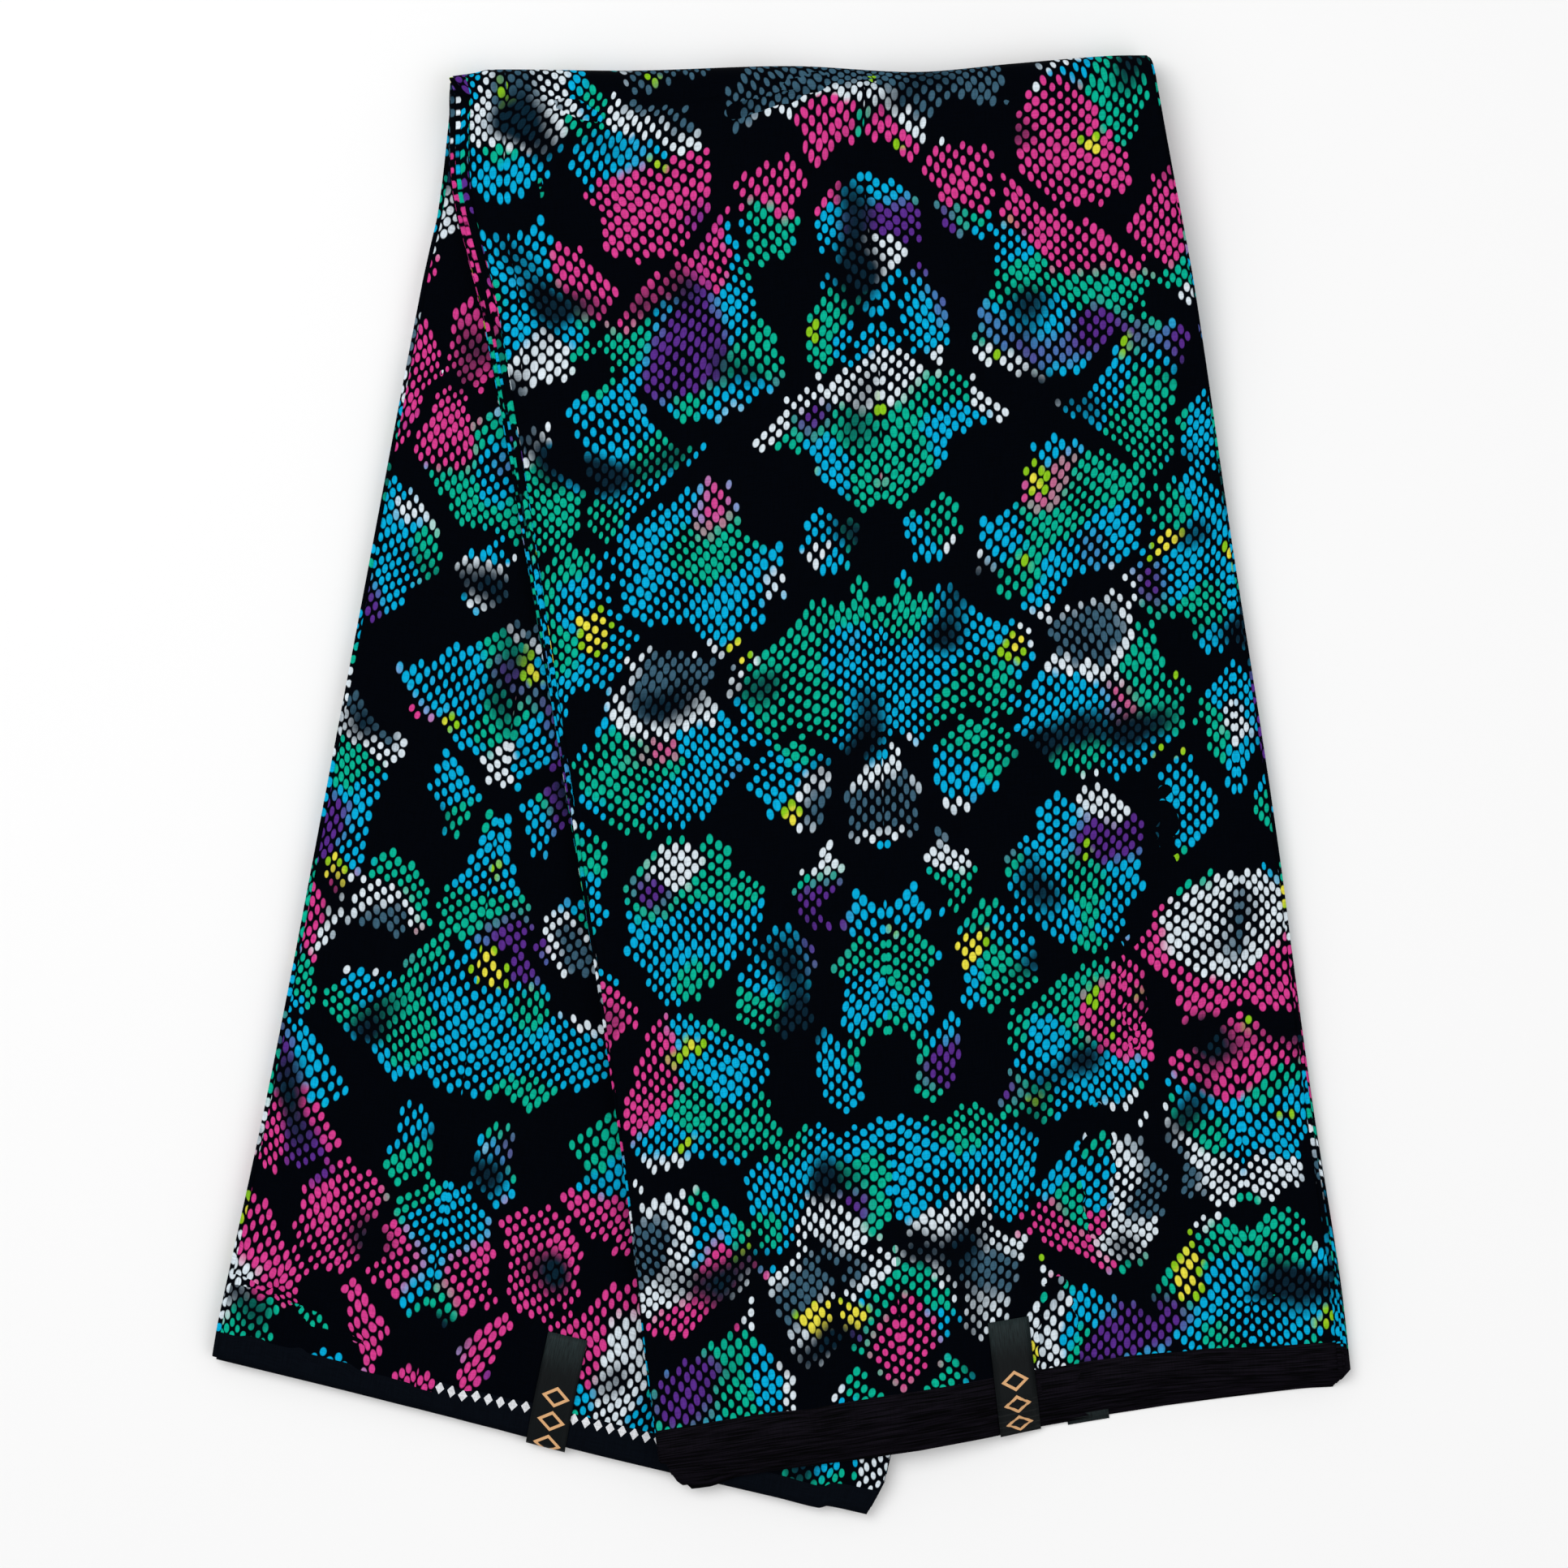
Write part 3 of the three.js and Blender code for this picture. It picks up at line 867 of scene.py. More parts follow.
@dataclass(frozen=True)
class Cloud:
    """A cloud of one colour in the print, which colours whole scales or, blown over, fades across them.

    size is in millimetres, shift moves it away from the other clouds, and low and high say where in the
    noise it begins and is full.
    """

    tint: str
    size: float
    shift: float
    low: float
    high: float
    mirrored: bool = False
    blown_over: bool = False


@dataclass(frozen=True)
class WaxPrintCotton:
    """Plain-weave cotton, wax-resist printed on both faces and calendered.

    The dye goes right through, so both faces show the print. Calendering leaves a low, broad shine, and the
    weave is a fine even grain under it. Lengths are in millimetres, and each range is in the noise that it
    reads, unless it says otherwise.
    """

    name: str = "wax_printed_plain_weave_cotton"
    cloth_width: float = 1160.0
    roughness: float = 0.8
    ior: float = 1.45
    specular: float = 0.02

    # The scales: staggered columns of dots that swirl a little, some dots larger than others.
    mirror_spacing: float = 147.0
    repeat: float = 450.0
    dot_cell: tuple[float, float] = (5.8, 5.75)
    dot_radii: tuple[float, float] = (1.26, 1.93)
    dot_jitter: tuple[float, float] = (0.5, 0.45)
    swirl_size: float = 46.0
    swirl: tuple[float, float] = (8.0, 9.0)
    uneven_size: float = 15.0
    uneven_range: tuple[float, float] = (0.3, 0.7)
    # Sizes of dots over that range, and beside a patch's edge, as shares of dot_radii.
    uneven_dots: tuple[float, float] = (0.86, 1.16)
    edge_dots: float = 0.86
    # Where a dot's dye fades out, as shares of its size.
    dot_edge: tuple[float, float] = (1.1, 0.86)

    # The patches of scales: ragged outlines, with wide and narrow gaps between them.
    ragged_size: float = 20.0
    ragged: float = 13.0
    kite_fullness: float = 0.9
    patch_growth: float = 9.0
    patch_gap: float = 7.0
    gap_size: float = 34.0
    gap_noise: tuple[float, float] = (0.36, 0.64)
    gap_range: tuple[float, float] = (2.4, 11.5)

    # The colours: blue and green under the clouds, which are nearly mirrored. A scale has one colour, from
    # beside its centre, with a little bleed from scale to scale.
    ground: str = "#010308"
    blue: str = "#06aede"
    green: str = "#08b494"
    colour_scatter: float = 3.6
    colour_bleed: float = 0.15
    drift_size: float = 36.0
    drift: float = 26.0
    green_range: tuple[float, float] = (0.505, 0.55)
    cloud_detail: float = 0.5
    cloud_roughness: float = 0.4

    # The borders along the selvedges, and the far one's rows of lozenges.
    front_border: float = 12.0
    back_border: float = 10.2
    border_black: str = "#040405"
    # The lighter streak colour of the near border is a painted highlight, for light catching the ridges of
    # the stepped selvedges.
    border_ridge_highlight: str = "#131017"
    border_far: str = "#070b12"
    # How the noise of the painted highlight streaks is stretched along the selvedge and squeezed across it.
    streaks: tuple[float, float] = (0.05, 2.0)
    streak_range: tuple[float, float] = (0.38, 0.62)
    selvedge_white: str = "#e4e6ea"
    mark_row: float = 12.6
    mark_margin: float = 4.6
    mark_spacing: float = 5.2
    mark_size: tuple[float, float] = (1.9, 2.6)
    mark_group_start: float = 56.0
    mark_group_spacing: float = 192.0
    mark_group_length: float = 96.0

    # The weave, which is drawn twice as coarse as it is so that it shows, and the soft rumples. Each relief
    # is a strength and a height in metres.
    thread_spacing: float = 0.55
    thread_slubs: float = 0.12
    thread_range: tuple[float, float] = (0.7, 1.3)
    thread_tones: tuple[float, float] = (0.755, 1.057)
    thread_relief: tuple[float, float] = (0.25, 0.00012)
    rumple_size: float = 14.0
    rumple_relief: tuple[float, float] = (0.35, 0.0015)
    clouds: tuple[Cloud, ...] = (
        Cloud("#da3e90", 96.0, 0.0, 0.553, 0.573, mirrored=True),
        Cloud("#5a2d8c", 52.0, 311.0, 0.665, 0.74),
        Cloud("#dce8f0", 62.0, 97.0, 0.594, 0.611, mirrored=True),
        Cloud("#3c5f73", 62.0, 97.0, 0.679, 0.735, mirrored=True),
        Cloud("#8cc81e", 30.0, 613.0, 0.77, 0.785),
        Cloud("#ebe146", 30.0, 613.0, 0.80, 0.815),
        Cloud("#0a2433", 34.0, 941.0, 0.60, 0.80, blown_over=True),
    )

    def build(self) -> bpy.types.Material:
        """Builds the finish.

        Returns:
            Its material.
        """
        material, tree = new_material(self.name)
        uv = add_node(tree, Kind.UV_MAP, uv_map=PRINT_MAP).outputs["UV"]
        place = add_node(tree, Kind.VECTOR_MATH, {0: uv, "Scale": 1 / MM}, operation="SCALE").outputs[0]
        split = add_node(tree, Kind.SPLIT, {0: place})
        mirrored_x = add_node(
            tree, Kind.MATH, {0: split.outputs[0], 1: self.mirror_spacing}, operation="PINGPONG"
        ).outputs[0]
        mirrored = add_node(tree, Kind.JOIN, {0: mirrored_x, 1: split.outputs[1]}).outputs[0]
        grain = self._grain(tree, place)
        away, centre, from_centre = self._scales(tree, mirrored)
        edge, inside = self._patches(tree, centre)
        dots = self._dots(tree, mirrored, away, edge)
        shown = add_node(tree, Kind.MATH, {0: dots, 1: inside}, operation="MULTIPLY").outputs[0]
        scale_places = self._scale_places(tree, place, mirrored, centre, from_centre)
        colour = self._airbrush(tree, place, *scale_places)
        cloth = add_node(
            tree,
            Kind.MIX,
            {"Factor": shown, COLOUR_A: linear(self.ground), COLOUR_B: colour},
            data_type="RGBA",
        ).outputs[COLOUR_OUT]
        printed = self._selvedge(tree, place, split, cloth)
        worn = add_node(
            tree,
            Kind.RANGE,
            {
                "Value": grain,
                "From Min": self.thread_range[0],
                "From Max": self.thread_range[1],
                "To Min": self.thread_tones[0],
                "To Max": self.thread_tones[1],
            },
        ).outputs[0]
        grained = add_node(
            tree, Kind.VECTOR_MATH, {0: printed, "Scale": worn}, operation="SCALE"
        ).outputs[0]
        shader = add_node(
            tree,
            Kind.PRINCIPLED,
            {
                "Base Color": grained,
                "Roughness": self.roughness,
                "IOR": self.ior,
                "Specular IOR Level": self.specular,
                "Normal": self._relief(tree, place, grain),
            },
        )
        add_node(tree, Kind.SURFACE_OUTPUT, {"Surface": shader.outputs[0]})
        return material

    def _scales(self, tree: Tree, mirrored: Socket) -> tuple[Socket, Socket, Socket]:
        """Scales laid in staggered columns that swirl a little.

        Args:
            tree: the node tree.
            mirrored: the place on the cloth, mirrored at every mirror line.

        Returns:
            How far each place is from its scale's centre, in scale radii, where that centre is among the
            scales, and the way from it to the place.
        """
        swirl = add_node(
            tree,
            Kind.NOISE,
            {"Vector": mirrored, "Scale": 1 / self.swirl_size, "Detail": 0.0},
            noise_dimensions="2D",
        ).outputs["Color"]
        bent = add_node(
            tree, Kind.VECTOR_MATH, {0: swirl, 1: (*self.swirl, 0.0), 2: mirrored}, operation="MULTIPLY_ADD"
        ).outputs[0]
        none, half_cell = (0.0, 0.0, 0.0), (self.dot_cell[0] / 2, self.dot_cell[1] / 2, 0.0)
        found = []
        for shift_in, shift_out in ((half_cell, none), (none, half_cell)):
            moved = add_node(tree, Kind.VECTOR_MATH, {0: bent, 1: shift_in}, operation="ADD").outputs[0]
            snapped = add_node(
                tree, Kind.VECTOR_MATH, {0: moved, 1: (*self.dot_cell, 1.0)}, operation="SNAP"
            ).outputs[0]
            centre = add_node(
                tree, Kind.VECTOR_MATH, {0: snapped, 1: shift_out}, operation="ADD"
            ).outputs[0]
            chance = add_node(tree, Kind.CHANCE, {"Vector": centre}, noise_dimensions="2D").outputs["Color"]
            wander = add_node(
                tree,
                Kind.VECTOR_MATH,
                {
                    0: chance,
                    1: (*self.dot_jitter, 0.0),
                    2: (-self.dot_jitter[0] / 2, -self.dot_jitter[1] / 2, 0.0),
                },
                operation="MULTIPLY_ADD",
            ).outputs[0]
            offset = add_node(tree, Kind.VECTOR_MATH, {0: bent, 1: centre}, operation="SUBTRACT").outputs[0]
            local = add_node(
                tree, Kind.VECTOR_MATH, {0: offset, 1: wander}, operation="SUBTRACT"
            ).outputs[0]
            scaled = add_node(
                tree, Kind.VECTOR_MATH, {0: local, 1: (*self.dot_radii, 1.0)}, operation="DIVIDE"
            ).outputs[0]
            away = add_node(tree, Kind.VECTOR_MATH, {0: scaled}, operation="LENGTH").outputs["Value"]
            found.append((away, centre))
        (away_a, centre_a), (away_b, centre_b) = found
        first = add_node(tree, Kind.MATH, {0: away_a, 1: away_b}, operation="LESS_THAN").outputs[0]
        nearest = add_node(tree, Kind.MATH, {0: away_a, 1: away_b}, operation="MINIMUM").outputs[0]
        centre = add_node(
            tree, Kind.MIX, {"Factor": first, VECTOR_A: centre_b, VECTOR_B: centre_a}, data_type="VECTOR"
        ).outputs[VECTOR_OUT]
        from_centre = add_node(
            tree, Kind.VECTOR_MATH, {0: bent, 1: centre}, operation="SUBTRACT"
        ).outputs[0]
        return nearest, centre, from_centre

    def _scale_places(
        self, tree: Tree, place: Socket, mirrored: Socket, centre: Socket, from_centre: Socket
    ) -> tuple[Socket, Socket]:
        """Where each scale takes its colour from: nearly its centre, moved a little by chance.

        Args:
            tree: the node tree.
            place: the place on the cloth, in millimetres.
            mirrored: the same place, mirrored at every mirror line.
            centre: the scale's centre among the scales.
            from_centre: the way from that centre to the place.

        Returns:
            That place on the cloth, and the same place mirrored.
        """
        chance = add_node(tree, Kind.CHANCE, {"Vector": centre}, noise_dimensions="2D").outputs["Color"]
        scatter = add_node(
            tree,
            Kind.VECTOR_MATH,
            {
                0: chance,
                1: (self.colour_scatter, self.colour_scatter, 0.0),
                2: (-self.colour_scatter / 2, -self.colour_scatter / 2, 0.0),
            },
            operation="MULTIPLY_ADD",
        ).outputs[0]
        kept = 1 - self.colour_bleed
        back = add_node(
            tree,
            Kind.VECTOR_MATH,
            {0: from_centre, 1: (-kept, -kept, 0.0), 2: scatter},
            operation="MULTIPLY_ADD",
        ).outputs[0]
        on_mirrored = add_node(tree, Kind.VECTOR_MATH, {0: mirrored, 1: back}, operation="ADD").outputs[0]
        split = add_node(tree, Kind.SPLIT, {0: place})
        along = add_node(
            tree, Kind.MATH, {0: split.outputs[0], 1: self.mirror_spacing * 2}, operation="FLOORED_MODULO"
        ).outputs[0]
        turned = add_node(
            tree, Kind.MATH, {0: along, 1: self.mirror_spacing}, operation="GREATER_THAN"
        ).outputs[0]
        way = add_node(tree, Kind.MATH, {0: turned, 1: -2.0, 2: 1.0}, operation="MULTIPLY_ADD").outputs[0]
        ways = add_node(tree, Kind.JOIN, {0: way, 1: 1.0}).outputs[0]
        on_cloth = add_node(
            tree, Kind.VECTOR_MATH, {0: back, 1: ways, 2: place}, operation="MULTIPLY_ADD"
        ).outputs[0]
        return on_cloth, on_mirrored

    def _dots(self, tree: Tree, mirrored: Socket, away: Socket, edge: Socket) -> Socket:
        """The printed part of each scale, larger in some places and smaller beside a patch's edge.

        Args:
            tree: the node tree.
            mirrored: the mirrored place on the cloth.
            away: distance from the scale's centre, in scale radii.
            edge: room between the scale and the next patch, in millimetres.

        Returns:
            1 on a dot and 0 between dots, with a soft edge where the dye bled.
        """
        uneven = add_node(
            tree,
            Kind.NOISE,
            {"Vector": mirrored, "Scale": 1 / self.uneven_size, "Detail": 0.0},
            noise_dimensions="2D",
        ).outputs["Fac"]
        swell = add_node(
            tree,
            Kind.RANGE,
            {
                "Value": uneven,
                "From Min": self.uneven_range[0],
                "From Max": self.uneven_range[1],
                "To Min": self.uneven_dots[0],
                "To Max": self.uneven_dots[1],
            },
        ).outputs[0]
        taper = add_node(
            tree,
            Kind.RANGE,
            {
                "Value": edge,
                "From Min": self.patch_gap,
                "From Max": self.patch_gap * 2,
                "To Min": self.edge_dots,
                "To Max": 1.0,
            },
        ).outputs[0]
        size = add_node(tree, Kind.MATH, {0: swell, 1: taper}, operation="MULTIPLY").outputs[0]
        sized = add_node(tree, Kind.MATH, {0: away, 1: size}, operation="DIVIDE").outputs[0]
        return add_node(
            tree, Kind.RANGE, {"Value": sized, "From Min": self.dot_edge[0], "From Max": self.dot_edge[1]}
        ).outputs[0]

    def _patches(self, tree: Tree, centre: Socket) -> tuple[Socket, Socket]:
        """Patches of scales that grow from their own outlines until they nearly meet.

        Only whole scales are in or out of a patch, because a patch is looked up at the scale's centre.

        Args:
            tree: the node tree.
            centre: the scale's centre.

        Returns:
            Room between a scale and the next patch, in millimetres, and 1 where the scale is printed.
        """
        noise = add_node(
            tree,
            Kind.NOISE,
            {"Vector": centre, "Scale": 1 / self.ragged_size, "Detail": 2.0},
            noise_dimensions="2D",
        ).outputs["Color"]
        moved = add_node(
            tree,
            Kind.VECTOR_MATH,
            {0: noise, 1: (self.ragged, self.ragged, 0.0), 2: centre},
            operation="MULTIPLY_ADD",
        ).outputs[0]
        # The raggedness and the swirl are half their full shift on average, and this takes it back.
        back = (-(self.ragged + self.swirl[0]) / 2, -(self.ragged + self.swirl[1]) / 2, 0.0)
        shifted = add_node(tree, Kind.VECTOR_MATH, {0: moved, 1: back}, operation="ADD").outputs[0]
        split = add_node(tree, Kind.SPLIT, {0: shifted})
        height = add_node(
            tree, Kind.MATH, {0: split.outputs[1], 1: self.repeat}, operation="FLOORED_MODULO"
        ).outputs[0]
        place = add_node(tree, Kind.JOIN, {0: split.outputs[0], 1: height}).outputs[0]
        nearest, next_one = FAR, FAR
        for patch, rise in self._laid_patches():
            local = add_node(
                tree,
                Kind.MAPPING,
                {
                    "Vector": place,
                    "Location": (patch.x, patch.y + rise, 0.0),
                    "Rotation": (0.0, 0.0, math.radians(patch.tilt)),
                    "Scale": (patch.half_width, patch.half_height, 1.0),
                },
                vector_type="TEXTURE",
            ).outputs[0]
            if patch.form is PatchForm.OVAL:
                away = add_node(tree, Kind.VECTOR_MATH, {0: local}, operation="LENGTH").outputs["Value"]
            else:
                sides = add_node(tree, Kind.VECTOR_MATH, {0: local}, operation="ABSOLUTE").outputs[0]
                away = add_node(
                    tree,
                    Kind.VECTOR_MATH,
                    {0: sides, 1: (self.kite_fullness, self.kite_fullness, 0.0)},
                    operation="DOT_PRODUCT",
                ).outputs["Value"]
            outside = add_node(
                tree, Kind.MATH, {0: away, 1: patch.size, 2: -patch.size}, operation="MULTIPLY_ADD"
            ).outputs[0]
            if patch.form is PatchForm.BARE:
                next_one = add_node(
                    tree, Kind.MATH, {0: next_one, 1: outside}, operation="MINIMUM"
                ).outputs[0]
                continue
            further = add_node(tree, Kind.MATH, {0: nearest, 1: outside}, operation="MAXIMUM").outputs[0]
            next_one = add_node(tree, Kind.MATH, {0: next_one, 1: further}, operation="MINIMUM").outputs[0]
            nearest = add_node(tree, Kind.MATH, {0: nearest, 1: outside}, operation="MINIMUM").outputs[0]
        edge = add_node(tree, Kind.MATH, {0: next_one, 1: nearest}, operation="SUBTRACT").outputs[0]
        openness = add_node(
            tree,
            Kind.NOISE,
            {"Vector": centre, "Scale": 1 / self.gap_size, "Detail": 0.0},
            noise_dimensions="2D",
        ).outputs["Fac"]
        gap = add_node(
            tree,
            Kind.RANGE,
            {
                "Value": openness,
                "From Min": self.gap_noise[0],
                "From Max": self.gap_noise[1],
                "To Min": self.gap_range[0],
                "To Max": self.gap_range[1],
            },
        ).outputs[0]
        roomy = add_node(tree, Kind.MATH, {0: edge, 1: gap}, operation="GREATER_THAN").outputs[0]
        grown = add_node(
            tree, Kind.MATH, {0: nearest, 1: self.patch_growth}, operation="LESS_THAN"
        ).outputs[0]
        inside = add_node(tree, Kind.MATH, {0: roomy, 1: grown}, operation="MULTIPLY").outputs[0]
        return edge, inside

    def _laid_patches(self) -> list[tuple[Patch, float]]:
        """Finds every patch that reaches into the repeat, from this repeat and its neighbours.

        Returns:
            Each patch with its rise, in millimetres.
        """
        laid = []
        for patch in PATCHES:
            for rise in (-self.repeat, 0.0, self.repeat):
                reach = patch.half_height + self.patch_growth + self.patch_gap
                if -reach < patch.y + rise < self.repeat + reach:
                    laid.append((patch, rise))
        return laid

    def _airbrush(self, tree: Tree, place: Socket, scale_place: Socket, scale_mirrored: Socket) -> Socket:
        """Colours blown softly over the scales: blue and green all over, with the other clouds on top.

        Args:
            tree: the node tree.
            place: the place on the cloth, in millimetres.
            scale_place: the place on the cloth that a whole scale takes its colour from.
            scale_mirrored: that place, mirrored.

        Returns:
            The colour of a dot at that place.
        """
        drift = add_node(
            tree,
            Kind.NOISE,
            {"Vector": scale_place, "Scale": 1 / self.drift_size, "Detail": 0.0},
            noise_dimensions="2D",
        ).outputs["Color"]
        nearly = add_node(
            tree,
            Kind.VECTOR_MATH,
            {0: drift, 1: (self.drift, self.drift, 0.0), 2: scale_mirrored},
            operation="MULTIPLY_ADD",
        ).outputs[0]
        turn = add_node(tree, Kind.SPLIT, {0: drift}).outputs[2]
        leafy = add_node(
            tree,
            Kind.RANGE,
            {"Value": turn, "From Min": self.green_range[0], "From Max": self.green_range[1]},
            interpolation_type="SMOOTHSTEP",
        ).outputs[0]
        colour = add_node(
            tree,
            Kind.MIX,
            {"Factor": leafy, COLOUR_A: linear(self.blue), COLOUR_B: linear(self.green)},
            data_type="RGBA",
        ).outputs[COLOUR_OUT]
        drawn = {}
        for cloud in self.clouds:
            key = (cloud.size, cloud.shift, cloud.mirrored)
            if key not in drawn:
                source = nearly if cloud.mirrored else place if cloud.blown_over else scale_place
                moved = add_node(
                    tree,
                    Kind.VECTOR_MATH,
                    {0: source, 1: (cloud.shift, cloud.shift * 2, 0.0)},
                    operation="ADD",
                ).outputs[0]
                drawn[key] = add_node(
                    tree,
                    Kind.NOISE,
                    {
                        "Vector": moved,
                        "Scale": 1 / cloud.size,
                        "Detail": self.cloud_detail,
                        "Roughness": self.cloud_roughness,
                    },
                    noise_dimensions="2D",
                ).outputs["Fac"]
            amount = add_node(
                tree,
                Kind.RANGE,
                {"Value": drawn[key], "From Min": cloud.low, "From Max": cloud.high},
                interpolation_type="SMOOTHSTEP",
            ).outputs[0]
            colour = add_node(
                tree,
                Kind.MIX,
                {"Factor": amount, COLOUR_A: colour, COLOUR_B: linear(cloud.tint)},
                data_type="RGBA",
            ).outputs[COLOUR_OUT]
        return colour

    def _selvedge(self, tree: Tree, place: Socket, split: Node, cloth: Socket) -> Socket:
        """Plain black borders along both selvedges.

        The near one is black, with lighter streaks along it that are painted highlights for light catching
        the ridges of its stepped selvedges. The far one is darker, with rows of white lozenges.

        Args:
            tree: the node tree.
            place: the place on the cloth, in millimetres.
            split: the node that splits that place.
            cloth: the colour of the cloth between the borders.

        Returns:
            The colour of the whole cloth.
        """
        across_row = add_node(
            tree,
            Kind.MATH,
            {0: split.outputs[1], 1: self.cloth_width - self.mark_row},
            operation="SUBTRACT",
        ).outputs[0]
        up = add_node(tree, Kind.MATH, {0: across_row}, operation="ABSOLUTE").outputs[0]
        along_row = add_node(
            tree, Kind.MATH, {0: split.outputs[0], 1: self.mark_spacing / 2}, operation="PINGPONG"
        ).outputs[0]
        corner = add_node(
            tree,
            Kind.MATH,
            {0: up, 1: self.mark_size[0] / self.mark_size[1], 2: along_row},
            operation="MULTIPLY_ADD",
        ).outputs[0]
        mark = add_node(
            tree, Kind.MATH, {0: corner, 1: self.mark_size[0]}, operation="LESS_THAN"
        ).outputs[0]
        moved = add_node(
            tree, Kind.MATH, {0: split.outputs[0], 1: self.mark_group_start}, operation="SUBTRACT"
        ).outputs[0]
        in_group = add_node(
            tree, Kind.MATH, {0: moved, 1: self.mark_group_spacing / 2}, operation="PINGPONG"
        ).outputs[0]
        grouped = add_node(
            tree, Kind.MATH, {0: in_group, 1: self.mark_group_length / 2}, operation="LESS_THAN"
        ).outputs[0]
        rows = add_node(tree, Kind.MATH, {0: mark, 1: grouped}, operation="MULTIPLY").outputs[0]
        in_front = add_node(
            tree, Kind.MATH, {0: split.outputs[1], 1: self.front_border}, operation="LESS_THAN"
        ).outputs[0]
        out = add_node(
            tree,
            Kind.MATH,
            {0: grouped, 1: self.mark_margin, 2: split.outputs[1]},
            operation="MULTIPLY_ADD",
        ).outputs[0]
        in_back = add_node(
            tree, Kind.MATH, {0: out, 1: self.cloth_width - self.back_border}, operation="GREATER_THAN"
        ).outputs[0]
        in_border = add_node(tree, Kind.MATH, {0: in_front, 1: in_back}, operation="MAXIMUM").outputs[0]
        # Painted highlight: lighter streaks along the near border stand in for light catching its ridges.
        drawn_out = add_node(
            tree, Kind.VECTOR_MATH, {0: place, 1: (*self.streaks, 1.0)}, operation="MULTIPLY"
        ).outputs[0]
        ridge_highlight_noise = add_node(
            tree, Kind.NOISE, {"Vector": drawn_out, "Scale": 1.0, "Detail": 2.0}, noise_dimensions="2D"
        ).outputs["Fac"]
        tone = add_node(
            tree,
            Kind.RANGE,
            {"Value": ridge_highlight_noise, "From Min": self.streak_range[0], "From Max": self.streak_range[1]},
        ).outputs[0]
        bare = add_node(
            tree,
            Kind.MIX,
            {"Factor": tone, COLOUR_A: linear(self.border_black), COLOUR_B: linear(self.border_ridge_highlight)},
            data_type="RGBA",
        ).outputs[COLOUR_OUT]
        either = add_node(
            tree,
            Kind.MIX,
            {"Factor": in_front, COLOUR_A: linear(self.border_far), COLOUR_B: bare},
            data_type="RGBA",
        ).outputs[COLOUR_OUT]
        border = add_node(
            tree,
            Kind.MIX,
            {"Factor": rows, COLOUR_A: either, COLOUR_B: linear(self.selvedge_white)},
            data_type="RGBA",
        ).outputs[COLOUR_OUT]
        return add_node(
            tree, Kind.MIX, {"Factor": in_border, COLOUR_A: cloth, COLOUR_B: border}, data_type="RGBA"
        ).outputs[COLOUR_OUT]

    def _grain(self, tree: Tree, place: Socket) -> Socket:
        """Slubby threads both ways, drawn at twice their real spacing so that they show.

        Args:
            tree: the node tree.
            place: the place on the cloth, in millimetres.

        Returns:
            The threads' height, about 1 on average.
        """
        heights = []
        across, along = 1 / self.thread_spacing, self.thread_slubs
        for stretch in ((across, along, 1.0), (along, across, 1.0)):
            threads = add_node(
                tree, Kind.VECTOR_MATH, {0: place, 1: stretch}, operation="MULTIPLY"
            ).outputs[0]
            height = add_node(
                tree, Kind.NOISE, {"Vector": threads, "Scale": 1.0, "Detail": 1.0}, noise_dimensions="2D"
            ).outputs["Fac"]
            heights.append(height)
        return add_node(tree, Kind.MATH, {0: heights[0], 1: heights[1]}, operation="ADD").outputs[0]

    def _relief(self, tree: Tree, place: Socket, grain: Socket) -> Socket:
        """The weave's relief over soft rumples.

        Args:
            tree: the node tree.
            place: the place on the cloth, in millimetres.
            grain: the threads' height.

        Returns:
            The shading normal.
        """
        strength, height = self.thread_relief
        fine = add_node(
            tree, Kind.BUMP, {"Strength": strength, "Distance": height, "Height": grain}
        ).outputs[0]
        rumple = add_node(
            tree,
            Kind.NOISE,
            {"Vector": place, "Scale": 1 / self.rumple_size, "Detail": 2.0},
            noise_dimensions="2D",
        ).outputs["Fac"]
        strength, height = self.rumple_relief
        return add_node(
            tree, Kind.BUMP, {"Strength": strength, "Distance": height, "Height": rumple, "Normal": fine}
        ).outputs[0]


